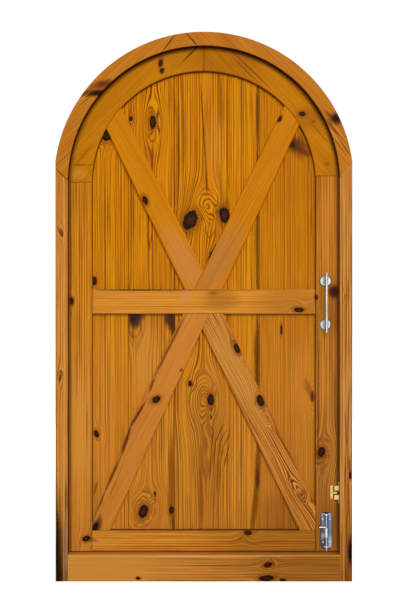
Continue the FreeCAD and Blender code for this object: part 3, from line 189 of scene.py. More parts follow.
LAMPS = (
    # name, place (m), aim (m), size (m), power (W)
    ("front_soft_lamp", (0.5, -5.4, 2.35), (0, 0, 1.0), 2.8, 228),
    ("back_soft_lamp", (0.5, 5.4, 2.35), (0, 0, 1.0), 2.2, 214),
)
for name, place, aim, size, power in LAMPS:
    bpy.ops.object.light_add(type="AREA", location=place)
    lamp = bpy.context.object
    lamp.name = name
    lamp.data.shape = "DISK"
    lamp.data.size = size
    lamp.data.energy = power
    lamp.rotation_euler = (Vector(aim) - Vector(place)).to_track_quat("-Z", "Y").to_euler()

bpy.ops.mesh.primitive_plane_add(size=FLOOR_SIZE, location=(0, 0, 0))
floor = bpy.context.object
floor.name = "studio_floor"
floor_paint = bpy.data.materials.new("floor_paint")
floor_paint.use_nodes = True
floor_shader = floor_paint.node_tree.nodes["Principled BSDF"]
floor_shader.inputs["Base Color"].default_value = (FLOOR_TONE, FLOOR_TONE, FLOOR_TONE, 1)
floor_shader.inputs["Roughness"].default_value = 1.0
floor_shader.inputs["Emission Color"].default_value = (1, 1, 1, 1)
path = floor_paint.node_tree.nodes.new("ShaderNodeLightPath")
seen = Field(path.outputs["Is Camera Ray"]).larger(Field(path.outputs["Is Glossy Ray"]))
(seen * FLOOR_GLOW).feeds(floor_shader, "Emission Strength")
floor.data.materials.append(floor_paint)

# --- Frame: jambs -------------------------------------------------------------------------
# Two planed pine posts, rebated for the leaf, with a small bevel on the inner front arris.
# The pine is stained and varnished. The left post's outer foot has gone black with wet.


def colour(red, green, blue):
    """A colour as it is read off a picture, in the linear form that nodes take."""
    linear = []
    for share in (red / 255, green / 255, blue / 255):
        low = share / 12.92
        high = ((share + 0.055) / 1.055) ** 2.4
        linear.append(low if share <= 0.04045 else high)
    return (*linear, 1.0)


def blank(name):
    """A new material with its shader and the piece's own coordinates."""
    made = bpy.data.materials.new(name)
    made.use_nodes = True
    shader = made.node_tree.nodes["Principled BSDF"]
    place = Field(made.node_tree.nodes.new("ShaderNodeTexCoord").outputs["Object"])
    return made, shader, place


def dress(made, *names):
    """Give CAD nodes this material."""
    for name in names:
        NODES[name].material_slots[0].material = made


TO_MM = 1000
HEAD_CENTRE = 1455  # height of the middle of the round head


def gap_to(place, kind, at):
    """Distance (mm) from an upright (x), level (z) or round (r) line on the face."""
    if kind == "x":
        return abs(place.parts()[0] * TO_MM - at)
    if kind == "z":
        return abs(place.parts()[2] * TO_MM - at)
    spoke = place.vector("MULTIPLY_ADD", place, (TO_MM, 0, TO_MM), (0, 0, -HEAD_CENTRE))
    return abs(spoke.length() - at)


def nearest_of(distances):
    nearest, *others = distances
    for other in others:
        nearest = nearest.smaller(other)
    return nearest


NO_DEPTH = 1e6  # so deep an oval that only its face counts


def around(place, x, z, half_width, half_length, tilt):
    """A place as seen from the middle of a tilted oval on the face, in shares of the oval."""
    oval = {
        "Vector": place,
        "Location": (x * MM, 0, z * MM),
        "Rotation": (0, math.radians(tilt), 0),
        "Scale": (half_width * MM, NO_DEPTH, half_length * MM),
    }
    return place.node("ShaderNodeMapping", {"vector_type": "TEXTURE"}, oval)


def laid_along(place, heart, lean):
    """Where a place lies in its tree (mm): across and through the grain, and along it."""
    x, z, y = heart
    tree = {
        "Vector": place,
        "Location": (x * MM, y * MM, z * MM),
        "Rotation": (0, math.radians(lean), 0),
        "Scale": (MM, MM, MM),
    }
    return place.node("ShaderNodeMapping", {"vector_type": "TEXTURE"}, tree)


# the wood's unevenness, as changes per mm across, through and along the grain
DRIFT = (1 / 230, 1 / 300, 1 / 640)
RIPPLE = (1 / 22, 1 / 60, 1 / 110)
FIBRE = (0.9, 0.9, 1 / 40)
RAG = (1 / 6, 1 / 6, 1 / 11)
RING_GROUPS = (1 / 34, 1 / 40, 1 / 900)
WARMTH = (1 / 60, 1 / 60, 1 / 420)
DRAWN_LINES = (1 / 4.6, 1 / 4.6, 1 / 210)

# a knot's figure grows by this much for each closed ring (mm), and pushes the grain aside
# out to this many times its own size
RING_ACROSS = 4.6
RING_ALONG = 8.5
PUSHED = (0.9, 3.2)
PUSH_RAG = 0.35
CLOSED_DRIFT = 0.1
CLOSING = 1.1


def bent_round(course, place, figures, drift, ripple):
    """The course of the grain, bent round knots and eyes.

    Gives the course, the rings that close round them, and the distance from each."""
    closed = (drift - 0.5) * CLOSED_DRIFT
    reaches = []
    for x, z, width, length, tilt, rings in figures:
        figure = around(place, x, z, width, length, tilt)
        reach = figure.length() + (ripple - 0.5) * PUSH_RAG
        held = reach.fade(*PUSHED) / (reach * reach).larger(1.0)
        course = course - figure.parts()[0] * width * held
        closed = closed + (1 - reach).larger(0) * (rings * CLOSING)
        reaches.append(reach)
    return course, closed, reaches


# how unevenly the years follow, and where in a year's ring its wood darkens and pales again
YEARS_APART = 0.06
YEARS_SPREAD = 1.5
SUMMER = (0.36, 0.76)
WINTER = (0.84, 1.0)


def year_rings(radius, ring, closed):
    """How late in its year the wood grew, and how bold that year's ring is."""
    years = {"W": radius * YEARS_APART, "Scale": 1.0, "Detail": 1.0}
    uneven = radius.node("ShaderNodeTexNoise", {"noise_dimensions": "1D"}, years)
    count = radius / ring + uneven * YEARS_SPREAD + closed
    part = count.maths("FRACT", count)
    year = {"W": count.maths("FLOOR", count)}
    bold = count.node("ShaderNodeTexWhiteNoise", {"noise_dimensions": "1D"}, year)
    return part.step(*SUMMER) * part.fade(*WINTER), bold


# how dark the faintest ring and the faintest group of rings are, and what is added to them
RING_FAINT, RING_SPREAD = 0.45, 0.65
GROUP_FAINT, GROUP_SPREAD = 0.40, 0.75
GROUPED = (0.34, 0.62)
KNOT_GROUP, KNOT_GROUP_COVER = (0.7, 1.7), 0.8
COURSE_RIPPLE = 3
# where the warm colour, drawn lines and fibres begin and are full, and how much they cover
WARM, WARM_COVER = (0.4, 0.7), 0.5
DRAWN, DRAWN_COVER = (0.46, 0.66), 0.42
FIBROUS, FIBRE_COVER = (0.36, 0.68), 0.25
FIBRE_SHADE = (0.60, 0.48, 0.30, 1)


def grain(place, board, ripple, fibre, tones, ring, contrast, wander, knots, eyes):
    """How late in its year the wood grew, and its colour with rings, warmth and fibres."""
    across, deep, along = board.parts()
    drift = board.noise(DRIFT, 1.0)
    course = across + (drift - 0.5) * wander + (ripple - 0.5) * COURSE_RIPPLE
    grown = [
        (x, z, half_width + rings * RING_ACROSS, half_length + rings * RING_ALONG, tilt, rings)
        for x, z, half_width, half_length, tilt, rings in knots
    ]
    course, closed, reaches = bent_round(course, place, (*grown, *eyes), drift, ripple)
    late, bold = year_rings((course * course + deep * deep).root(), ring, closed)
    flow = board.node("ShaderNodeCombineXYZ", inputs={0: course, 1: deep, 2: along})
    group = flow.noise(RING_GROUPS, 1.0).step(*GROUPED)
    for reach in reaches:
        group = group.larger(reach.fade(*KNOT_GROUP) * KNOT_GROUP_COVER)
    shade = late * (RING_FAINT + RING_SPREAD * bold) * (GROUP_FAINT + GROUP_SPREAD * group)

    light, dark, warm = tones
    tint = (shade * contrast).mixed(light, dark)
    tint = (board.noise(WARMTH, 3.0).step(*WARM) * WARM_COVER).mixed(tint, warm)
    drawn = flow.noise(DRAWN_LINES, 2.0).step(*DRAWN)
    tint = (drawn * DRAWN_COVER * contrast).mixed(tint, dark)
    tint = (fibre.step(*FIBROUS) * FIBRE_COVER).mixed(tint, FIBRE_SHADE, "MULTIPLY")
    return late, tint


KNOT_HALO = colour(128, 62, 6)
KNOT_TONE = colour(78, 38, 16)
KNOT_CORE = colour(26, 12, 6)
# dark lines at joints and cracks, and also painted shade at seams, on the rim of the leaf and at
# the crown
GRIME_AND_SHADE = colour(62, 28, 4)
# painted shade on the sides of the opening in front of the leaf
REVEAL_SHADE_TONE = colour(30, 12, 2)
# pale arrises: wear, with a painted highlight along the arris
WEAR_AND_HIGHLIGHT = colour(226, 160, 70)
STREAK = colour(104, 50, 2)
RED_STREAK = colour(108, 44, 10)
PALE_STREAK = colour(218, 150, 62)
DARK_PURPLE_GREY = colour(52, 42, 42)
BLACKENED = colour(20, 14, 10)
DUST = colour(204, 146, 96)
GREYED = colour(160, 140, 128)

TORN_WIDTH = 12  # past this half width (mm) a streak's edge is less torn
STREAK_EDGE = (0.3, 1.1)
STREAK_RIPPLE, STREAK_RAG = 0.7, 0.6


def streaked(tint, place, streaks, ripple, rag):
    """A colour with streaks and stains on it, and patches of painted shade given the same way, the
    first one lowest.
    """
    for x, z, half_width, half_length, tilt, strength, hue in streaks:
        mark = around(place, x, z, half_width, half_length, tilt).length()
        torn = min(1.0, TORN_WIDTH / half_width)
        tear = ((ripple - 0.5) * STREAK_RIPPLE + (rag - 0.5) * STREAK_RAG) * torn
        tint = ((mark + tear).fade(*STREAK_EDGE) * strength).mixed(tint, hue)
    return tint


KNOT_RIPPLE, KNOT_RAG = 0.4, 0.55
HALO_EDGE, HALO_COVER = (0.9, 2.2), 0.6
KNOT_EDGE = (0.84, 1.1)
CORE_EDGE = (0.8, 1.0)
CORE_DEEPENS, CORE_COVER = (0.2, 0.8), (0.3, 1.0)


def knotted(tint, place, knots, ripple, rag):
    """A colour with knots in it: a brown halo, a dark ring and a core darkest at its rim."""
    nearest = nearest_of([around(place, *knot[:5]).length() for knot in knots])
    ragged = nearest + (rag - 0.5) * KNOT_RAG + (ripple - 0.5) * KNOT_RIPPLE
    tint = (ragged.fade(*HALO_EDGE) * HALO_COVER).mixed(tint, KNOT_HALO)
    tint = ragged.fade(*KNOT_EDGE).mixed(tint, KNOT_TONE)
    core = ragged.fade(*CORE_EDGE) * ragged.step(*CORE_DEEPENS, *CORE_COVER)
    return core.mixed(tint, KNOT_CORE)


# for each kind of edge: full up to, gone past (mm), cover, and how far it frays (mm)
ARRIS, ARRIS_COVER, ARRIS_FRAY = (1.2, 3.6), 0.5, 3
SEAM_SHADE, SEAM_SHADE_COVER = (1.5, 9), 0.18
SEAM, SEAM_COVER, SEAM_FRAY = (0.9, 2.4), 0.7, 1.2
RIM, RIM_COVER, RIM_FRAY = (2, 18), 0.7, 3


def edged(tint, place, arrises, seams, shadowed_rims, ripple, fibre):
    """A colour with pale arrises (wear and painted highlight), dark seams with painted shade, and
    painted shadow on the rim.
    """
    if arrises:
        near = nearest_of([gap_to(place, *line) for line in arrises])
        near = near + (fibre - 0.5) * ARRIS_FRAY + (ripple - 0.5) * ARRIS_FRAY
        tint = (near.fade(*ARRIS) * ARRIS_COVER).mixed(tint, WEAR_AND_HIGHLIGHT)
    # dark seam lines, with a broader band of painted shade beside them
    if seams:
        near = nearest_of([gap_to(place, *line) for line in seams]) + ripple * SEAM_FRAY
        tint = (near.fade(*SEAM_SHADE) * SEAM_SHADE_COVER).mixed(tint, STREAK)
        tint = (near.fade(*SEAM) * SEAM_COVER).mixed(tint, GRIME_AND_SHADE)
    # painted shadow cast by the frame's lip over the rim of the leaf
    if shadowed_rims:
        near = nearest_of([gap_to(place, *line) for line in shadowed_rims]) + ripple * RIM_FRAY
        tint = (near.fade(*RIM) * RIM_COVER).mixed(tint, GRIME_AND_SHADE)
    return tint


REVEAL_EDGE = (499, 504)
REVEAL_FRONT = (-42, -38)
REVEAL_BACK = (-3.6, -2.6)


def painted_reveal_shade(tint, place, strength):
    """A colour with painted shade on the sides of the opening, in front of the leaf."""
    side, back, up = (part * TO_MM for part in place.parts())
    above = (up - HEAD_CENTRE).larger(0)
    inner = (side * side + above * above).root().fade(*REVEAL_EDGE)
    shut = back.step(*REVEAL_FRONT) * back.fade(*REVEAL_BACK)
    return (inner * shut * strength).mixed(tint, REVEAL_SHADE_TONE)


FIBRE_ROUGH = 0.65
DUSTY = (0.35, 1.35)  # dust lies thick up to the first height (m) and ends at the second
VARNISH, FIBRE_DULLS, LATE_SHINES = 0.50, 0.14, 0.10
LATE_RISE, FIBRE_RISE = 0.5, 0.7
RELIEF_STRENGTH, RELIEF_DEPTH = 0.32, 0.0005


def pine(name, tones, heart, lean=0, ring=8.5, contrast=0.8, wander=7,
         knots=(), eyes=(), streaks=(), seams=(), shadowed_rims=(), arrises=(),
         dust=0.0, reveal=0.0, shine=0.03):
    """Stained, varnished pine: rings, knots, streaks, seams, worn arrises, painted shade and
    highlight.

    tones: light, dark and warm colours. heart: a point (x, z, y) of the tree's middle, mm.
    lean: degrees of the grain from upright. ring: a year's width, mm. wander: how far the
    grain strays, mm. knots: x, z, half width, half length, tilt, closed rings round it.
    eyes: figures of rings without a knot, given like knots.
    streaks: x, z, half width, half length, tilt, strength, colour.
    seams, arrises: lines for gap_to. Lines along a rim of the leaf likewise, with a painted
    shadow from the frame's lip. dust: how much lies low on the face. reveal: how much
    painted shade darkens the sides of the opening in front of the leaf. shine: of the varnish.
    """
    made, shader, place = blank(name)
    board = laid_along(place, heart, lean)
    ripple = board.noise(RIPPLE, 1.0)
    fibre = board.noise(FIBRE, 3.0, FIBRE_ROUGH)
    rag = board.noise(RAG, 2.0)
    late, tint = grain(place, board, ripple, fibre, tones, ring, contrast, wander, knots, eyes)
    if dust:
        tint = (place.parts()[2].fade(*DUSTY) * dust).mixed(tint, DUST)
    tint = streaked(tint, place, streaks, ripple, rag)
    if knots:
        tint = knotted(tint, place, knots, ripple, rag)
    tint = edged(tint, place, arrises, seams, shadowed_rims, ripple, fibre)
    if reveal:
        tint = painted_reveal_shade(tint, place, reveal)
    tint.feeds(shader, "Base Color")

    (VARNISH + FIBRE_DULLS * fibre - LATE_SHINES * late).feeds(shader, "Roughness")
    shader.inputs["Specular IOR Level"].default_value = shine
    height = late * LATE_RISE + fibre * FIBRE_RISE
    given = {"Strength": RELIEF_STRENGTH, "Distance": RELIEF_DEPTH, "Height": height}
    height.node("ShaderNodeBump", inputs=given).feeds(shader, "Normal")
    return made


JAMB_TONES = (colour(220, 148, 60), colour(130, 68, 14), colour(194, 112, 34))
DULL_TONES = (colour(216, 144, 64), colour(112, 56, 10), colour(186, 106, 40))
JAMB_STREAKS = (
    (-522, 500, 30, 230, 0, 0.45, PALE_STREAK),
    (-503, 800, 6, 640, 0, 0.6, PALE_STREAK),
    (-512, 60, 26, 190, 0, 0.4, STREAK),
    (-514, 24, 30, 34, 0, 0.6, GRIME_AND_SHADE),
    (-545, 0, 46, 270, 0, 1.0, BLACKENED),
    (-545, 120, 38, 270, 0, 1.0, BLACKENED),
    (-545, 300, 13, 250, 0, 0.85, BLACKENED),
    (-519, 1270, 9, 22, -20, 0.85, KNOT_TONE),
    (-522, 744, 8, 26, 10, 0.85, KNOT_TONE),
    (-501, 120, 4.4, 170, 0, 0.55, GREYED),
    (-507, 120, 2.4, 170, 0, 0.9, DARK_PURPLE_GREY),
    (-536, 620, 4, 160, 0, 0.4, STREAK),
    (-503, 300, 8, 70, 0, 0.5, DARK_PURPLE_GREY),
    (-517.5, 1480.5, 2.4, 34, -45, 0.9, GRIME_AND_SHADE),
)
# The sides of the posts in front of the leaf are darkened with painted shade (reveal), the right
# post less.
dress(
    pine("left_jamb_pine", JAMB_TONES, (-400, 700, 60), contrast=0.9,
         eyes=((-519, 1270, 13, 34, -10, 1), (-522, 744, 12, 34, 5, 1)),
         streaks=JAMB_STREAKS, arrises=(("x", -540), ("x", -509)), reveal=0.75),
    "left_jamb",
)
dress(
    pine("right_jamb_pine", DULL_TONES, (640, 900, 60), contrast=1.1,
         knots=((532.7, 386, 5, 14, 0, 1),),
         streaks=((524, 710, 30, 150, 0, 0.4, PALE_STREAK), (524, 50, 40, 240, 0, 0.5, STREAK),
                  (524, 640, 30, 200, 0, 0.2, DUST), (526, 18, 40, 60, 0, 0.4, STREAK),
                  (531, 116, 14, 84, 0, 1.0, KNOT_TONE), (532, 108, 9, 60, 0, 1.0, KNOT_CORE),
                  (530, 416, 8, 50, -4, 0.75, RED_STREAK), (515, 420, 3.4, 130, 3, 0.7, RED_STREAK),
                  (524, 330, 3.4, 150, -3, 0.7, RED_STREAK),
                  (507, 250, 3.2, 130, 2, 0.6, KNOT_HALO),
                  (519, 180, 3.4, 130, 0, 0.7, RED_STREAK),
                  (526, 620, 3.4, 140, 2, 0.6, RED_STREAK),
                  (516, 560, 3, 90, -4, 0.6, RED_STREAK), (512, 980, 4, 260, 0, 0.35, STREAK),
                  (513, 330, 3.4, 200, 0, 0.6, STREAK), (522, 240, 3.4, 240, 2, 0.6, KNOT_HALO),
                  (508, 1056, 3, 40, -14, 0.7, KNOT_HALO), (508, 1020, 3, 34, 20, 0.7, KNOT_HALO),
                  (524, 1054, 2.6, 60, 0, 0.6, STREAK),
                  (498, 330, 3.4, 200, 0, 0.7, PALE_STREAK),
                  (518, 430, 3, 120, -2, 0.6, PALE_STREAK),
                  (536, 700, 6, 60, 0, 0.5, STREAK), (503, 300, 4, 150, 0, 0.6, PALE_STREAK),
                  (517.5, 1493.5, 2.4, 34, 45, 0.6, GREYED)),
         arrises=(("x", 540), ("x", 509)), reveal=0.4),
    "right_jamb",
)

# --- Frame: arch --------------------------------------------------------------------------
# Two long pieces and a short key block, sawn to the curve from straight planks, so the grain
# runs straight through each. They are dowelled and glued, and the joints show as dark lines.
MAROON = colour(62, 22, 12)
ARCH_TONES = (colour(202, 126, 32), colour(118, 56, 10), colour(176, 97, 22))
ARCH_JOINTS = (
    (-517.5, 1480.5, 3.6, 40, -45, 0.9, GRIME_AND_SHADE),
    (-128.5, 1957.9, 3.4, 54, 37, 0.9, GRIME_AND_SHADE),
    (-44.9, 1972.7, 3.8, 44, -43, 0.95, GRIME_AND_SHADE),
    (517.5, 1493.5, 2.8, 38, 45, 0.55, GREYED),
)
# The soffit of the arch in front of the leaf is painted nearly black as shade (reveal).
dress(
    pine("arch_left_pine", ARCH_TONES, (-230, 1660, 60), lean=47, contrast=0.4, wander=16,
         streaks=((-385, 1793, 28, 76, 72, 0.5, RED_STREAK),
                  (-364, 1811, 19, 46, 76, 0.9, RED_STREAK),
                  (-405, 1775, 16, 58, 84, 0.95, MAROON), (-386, 1778, 12, 32, 80, 0.85, KNOT_CORE),
                  (-430, 1750, 3, 46, 50, 0.6, RED_STREAK),
                  (-436, 1762, 3, 40, 50, 0.6, PALE_STREAK),
                  *ARCH_JOINTS), reveal=0.95),
    "arch_left",
)
dress(
    pine("arch_key_pine", ARCH_TONES, (-60, 1700, 60), lean=84, contrast=0.4,
         streaks=ARCH_JOINTS, reveal=0.95),
    "arch_key",
)
dress(
    pine("arch_right_pine", ARCH_TONES, (200, 1600, 60), lean=-44, contrast=0.35, wander=16,
         streaks=((485, 1686, 31, 42, 70, 0.95, MAROON), (486, 1688, 15, 20, 70, 0.8, KNOT_CORE),
                  (452, 1700, 9, 26, -50, 0.6, RED_STREAK),
                  (466, 1650, 3.6, 52, -40, 0.85, RED_STREAK),
                  (480, 1636, 3.4, 60, -38, 0.8, STREAK),
                  (496, 1612, 3.6, 60, -36, 0.8, RED_STREAK),
                  (488, 1590, 3, 60, -36, 0.7, STREAK), (512, 1580, 3.4, 50, -34, 0.75, RED_STREAK),
                  (474, 1624, 3, 50, -38, 0.7, PALE_STREAK),
                  (490, 1640, 3, 60, -38, 0.7, PALE_STREAK),
                  (504, 1600, 3, 50, -36, 0.7, PALE_STREAK), *ARCH_JOINTS), reveal=0.95),
    "arch_right",
)

# --- Threshold ----------------------------------------------------------------------------
# One stout pine sill between the posts, a step proud of the leaf, with a socket bored
# for the bolt. Its top front arris is pale, worn by feet and with a painted highlight.
SCUFF_AND_HIGHLIGHT = colour(236, 176, 136)
dress(
    pine("threshold_pine", JAMB_TONES, (0, -120, 60), lean=90, contrast=1.0,
         knots=((233, 60.5, 9, 15, 70, 2), (229, 13, 11, 28, 86, 1), (-239, 12, 5, 8, 90, 1),
                (288, 6, 6, 12, 90, 0)),
         # a pale band along the top front arris: wear by feet, with a painted highlight
         streaks=((-100, 92, 4, 330, 90, 0.8, SCUFF_AND_HIGHLIGHT), (250, 91, 3, 200, 90, 0.5, SCUFF_AND_HIGHLIGHT),
                  (-120, 84, 3, 300, 90, 0.5, STREAK),
                  (-470, 50, 480, 200, 0, 0.75, PALE_STREAK), (490, 50, 480, 200, 0, 0.5, STREAK)),
         arrises=(("z", 94),), shine=0.0),
    "threshold",
)

# --- Leaf: stiles and round head ----------------------------------------------------------
# Two upright stiles and two curved head rails of stained pine, thicker than the boards,
# butted and dowelled end to end. The head rails are sawn to the curve from straight stuff.
SUNNED = colour(226, 142, 48)
STILE_TONES = (colour(226, 146, 26), colour(126, 58, 2), colour(200, 114, 12))
STILE_SHADE_TONES = (colour(202, 128, 24), colour(104, 46, 6), colour(172, 94, 18))
HEAD_TONES = (colour(206, 128, 2), colour(112, 52, 0), colour(182, 102, 2))
# Each stile and head rail is darkened by a painted shadow along its outer edge, beside the frame's
# lip, and by painted shade beside its inner seam.
dress(
    pine("left_stile_pine", STILE_TONES, (-320, 700, 80), contrast=0.9,
         knots=((-485.9, 1020.3, 8, 13, 0, 1), (-431.5, 147, 10, 15, 64, 1)),
         streaks=((-460, 565, 60, 270, 0, 0.6, PALE_STREAK), (-455, 1400, 44, 110, 0, 0.2, STREAK),
                  (-452, 470, 60, 310, 0, 0.4, SUNNED),
                  (-408, 142, 10, 30, 104, 0.75, KNOT_HALO),
                  (-452, 452, 32, 74, 0, 0.3, PALE_STREAK),
                  (-430, 560, 4, 120, 0, 0.5, STREAK), (-466, 820, 4, 260, 0, 0.45, STREAK)),
         seams=(("x", -410),), shadowed_rims=(("x", -495),), dust=0.15),
    "left_stile",
)
dress(
    pine("right_stile_pine", STILE_SHADE_TONES, (600, 700, 80), contrast=1.2,
         knots=((431.6, 465.7, 14, 21, 15, 4),),
         streaks=((470, 1220, 44, 520, 0, 0.35, SUNNED), (438, 1300, 40, 240, 0, 0.25, SUNNED),
                  (434, 720, 36, 130, 0, 0.3, SUNNED), (480, 1000, 30, 150, 0, 0.45, STREAK),
                  (452, 190, 64, 190, 0, 0.4, STREAK),
                  (478, 1054, 35, 33, 0, 0.95, MAROON), (486, 1058, 20, 19, 0, 0.45, KNOT_CORE),
                  (414, 1034, 9, 17, 0, 0.95, KNOT_CORE),
                  (432, 440, 18, 70, 0, 0.4, RED_STREAK),
                  (420, 640, 4, 460, 0, 0.8, STREAK), (498, 700, 4, 500, 0, 0.5, STREAK)),
         seams=(("x", 410),), shadowed_rims=(("x", 495),), dust=0.14),
    "right_stile",
)
dress(
    pine("arch_rail_left_pine", HEAD_TONES, (-140, 1660, 70), lean=44, contrast=0.3, wander=26,
         knots=((-159, 1894.5, 8, 14, 10, 1), (-154, 1867, 8, 10, 10, 1)),
         streaks=((-50, 1928, 4, 56, 45, 0.9, GRIME_AND_SHADE), (-450, 1520, 3.4, 60, 90, 0.7, STREAK),
                  # the broad faint dark patch at (-60, 1930) is painted shade under the frame's
                  # arch
                  (-455, 1488, 36, 26, 0, 0.3, PALE_STREAK), (-60, 1930, 160, 80, 0, 0.14, GRIME_AND_SHADE),
                  (-440, 1560, 3, 60, 40, 0.5, STREAK)),
         seams=(("r", 410), ("x", 0), ("z", 1456)), shadowed_rims=(("r", 495),)),
    "arch_rail_left",
)
dress(
    pine("arch_rail_right_pine", HEAD_TONES, (160, 1640, 70), lean=-44, contrast=0.3, wander=26,
         knots=((361, 1707.5, 12, 9, 0, 1),),
         # the broad faint dark patch at (100, 1910) is painted shade under the frame's arch
         streaks=((100, 1910, 200, 110, 0, 0.14, GRIME_AND_SHADE), (385, 1690, 80, 60, 0, 0.3, STREAK),
                  (402, 1680, 8, 7, 0, 0.7, RED_STREAK), (174, 1869, 3.4, 116, -46, 0.75, STREAK),
                  (148, 1874, 3.2, 80, -45, 0.6, STREAK), (452, 1524, 16, 10, 0, 0.5, STREAK),
                  (430, 1632, 3, 60, -40, 0.5, STREAK)),
         seams=(("r", 410), ("x", 0), ("z", 1480)), shadowed_rims=(("r", 495),)),
    "arch_rail_right",
)

# --- Leaf: ledges and braces --------------------------------------------------------------
# Two flat rails across the leaf, nailed to the boards from behind, and two pairs of slanting
# braces that lie on the boards, flush with the rails; in each pair one brace runs through.
# They are smoother stuff, in a slightly redder stain.
BROWN = colour(140, 74, 12)
RAIL_TONES = (colour(228, 150, 48), colour(136, 70, 12), colour(208, 124, 36))
BRACE_TONES = (colour(216, 134, 4), colour(132, 64, 0), colour(198, 112, 4))
PALE_TONES = (colour(214, 136, 50), colour(124, 60, 12), colour(194, 112, 44))
STRONG_TONES = (colour(224, 146, 56), colour(96, 40, 8), colour(194, 110, 42))
WANE = colour(92, 42, 16)
WANE_LINE = (
    # the dark bark edge down the left of the lower left brace
    (-128, 848.5, 6.4, 150, 26.3, 0.75, WANE),
    (-192, 710, 6.4, 36, 19.5, 0.8, WANE),
    (-237, 613, 7.5, 76, 30.3, 0.95, WANE),
    (-287, 503, 7.5, 78, 18.8, 0.95, WANE),
    (-335, 383, 6.4, 86, 24.2, 0.85, WANE),
    (-377, 284, 6.2, 52, 21.5, 0.75, WANE),
    (-318, 372, 2.6, 130, 22, 0.5, WANE),
    (-384, 204, 14, 44, 6, 0.8, RED_STREAK),
    (-399, 190, 19, 36, 10, 1.0, KNOT_CORE),
)
dress(
    pine("middle_rail_pine", RAIL_TONES, (0, 880, 80), lean=90, contrast=0.42,
         knots=((349, 987, 18, 9, 0, 2), (412.8, 1035, 6, 13, 0, 0)),
         # a dark line along the rail's top edge, where it meets the boards
         streaks=((0, 1060, 3, 420, 90, 0.55, STREAK), (-250, 1061, 5, 230, 90, 0.95, DARK_PURPLE_GREY),
                  (-66, 1038, 30, 30, 0, 0.35, DUST), (330, 1010, 200, 90, 0, 0.3, STREAK),
                  (60, 1024, 90, 50, 0, 0.35, STREAK), (33, 1050, 24, 12, 0, 0.45, STREAK)),
         seams=(("x", -410), ("x", 410), ("z", 973)),
         arrises=(("z", 976),)),
    "middle_rail",
)
dress(
    pine("bottom_rail_pine", RAIL_TONES, (0, 0, 80), lean=90, contrast=0.9,
         knots=((162, 168, 14, 9, 0, 2),),
         streaks=((-408, 142, 10, 30, 104, 0.75, KNOT_HALO), (340, 130, 430, 200, 0, 0.45, STREAK),
                  (-420, 130, 200, 200, 0, 0.25, PALE_STREAK)),
         seams=(("x", 410), ("z", 178))),
    "bottom_rail",
)
dress(
    pine("brace_upper_left_pine", BRACE_TONES, (-60, 1480, 60), lean=-29,
         contrast=0.35, knots=((-216.3, 1389.5, 10, 17, -20, 1),),
         streaks=((-66, 1160, 60, 190, -29, 0.28, DUST),)),
    "brace_upper_left",
)
dress(
    pine("brace_upper_right_pine", BRACE_TONES, (20, 1480, 60), lean=30,
         contrast=0.35, knots=((279, 1689, 7, 12, 30, 2),),
         streaks=((60, 1170, 60, 190, 30, 0.18, BROWN), (60, 1170, 60, 190, 30, 0.12, GREYED))),
    "brace_upper_right",
)
dress(
    pine("brace_lower_left_pine", PALE_TONES, (-60, 500, 70), lean=29,
         contrast=0.3, knots=((-175.9, 658.2, 12, 17, 55, 1),),
         streaks=((-84, 767, 6, 11, 29, 0.8, RED_STREAK), *WANE_LINE)),
    "brace_lower_left",
)
dress(
    pine("brace_lower_right_pine", STRONG_TONES, (430, 500, 60), lean=-28, ring=7.5,
         contrast=1.35, wander=14,
         knots=((121.6, 845.9, 11, 20, -24, 2), (208, 653, 13, 22, -18, 2),
                (401, 293, 7, 8, 0, 1)),
         eyes=((146, 788, 11, 20, -30, 2), (228, 584, 13, 26, -30, 2.5),
               (352, 322, 18, 60, -34, 2.5)),
         streaks=((110, 770, 64, 290, -28, 0.5, PALE_STREAK),
                  (300, 480, 3.4, 110, -32, 0.8, KNOT_HALO),
                  (322, 350, 3.4, 80, -14, 0.8, KNOT_HALO),
                  (230, 596, 2.5, 40, -34, 0.7, KNOT_HALO))),
    "brace_lower_right",
)

# --- Leaf: boards -------------------------------------------------------------------------
# Six tongued and grooved pine boards, set back behind the stiles, each with its own rings
# and knots. The seams are narrow and dark; the one by the right brace has gone brown.
DEAD_KNOT = colour(60, 34, 32)
BOARD_TONES = (colour(230, 148, 0), colour(112, 48, 0), colour(204, 114, 0))
BOARD_SHADE_TONES = (colour(212, 132, 4), colour(112, 50, 0), colour(188, 106, 2))
BROWN_SEAM = (
    (199, 1300, 9, 700, 0, 0.75, STREAK),
    (199, 1720, 10, 180, 0, 0.7, STREAK),
    (197, 810, 14, 230, 0, 0.85, STREAK),
    (198, 400, 15, 140, 3, 0.8, STREAK),
    (199, 360, 10, 50, 0, 0.8, KNOT_TONE),
    (186, 240, 15, 130, 6, 0.75, STREAK),
)
LOW_SHADE = (300, 220, 190, 130, 0, 0.35, STREAK)
BENT_RING_WIDTH = 2.8
BENT_RINGS = (
    # x, z, half length and tilt of the bold rings that bend past the middle knot
    (30, 491, 84, 5.7), (22.5, 394, 68, 2.5),
    (51, 517, 35, 24), (41, 471, 46, 4), (37, 410, 60, 3),
    (69, 517, 38, 26), (57, 475, 43, 7), (51, 395, 94, 3),
    (83.5, 506, 38, 27), (69, 462, 46, 12), (61, 388, 84, 2),
    (91, 475, 38, 16), (80.5, 434, 38, 12), (63, 547, 30, 26),
)
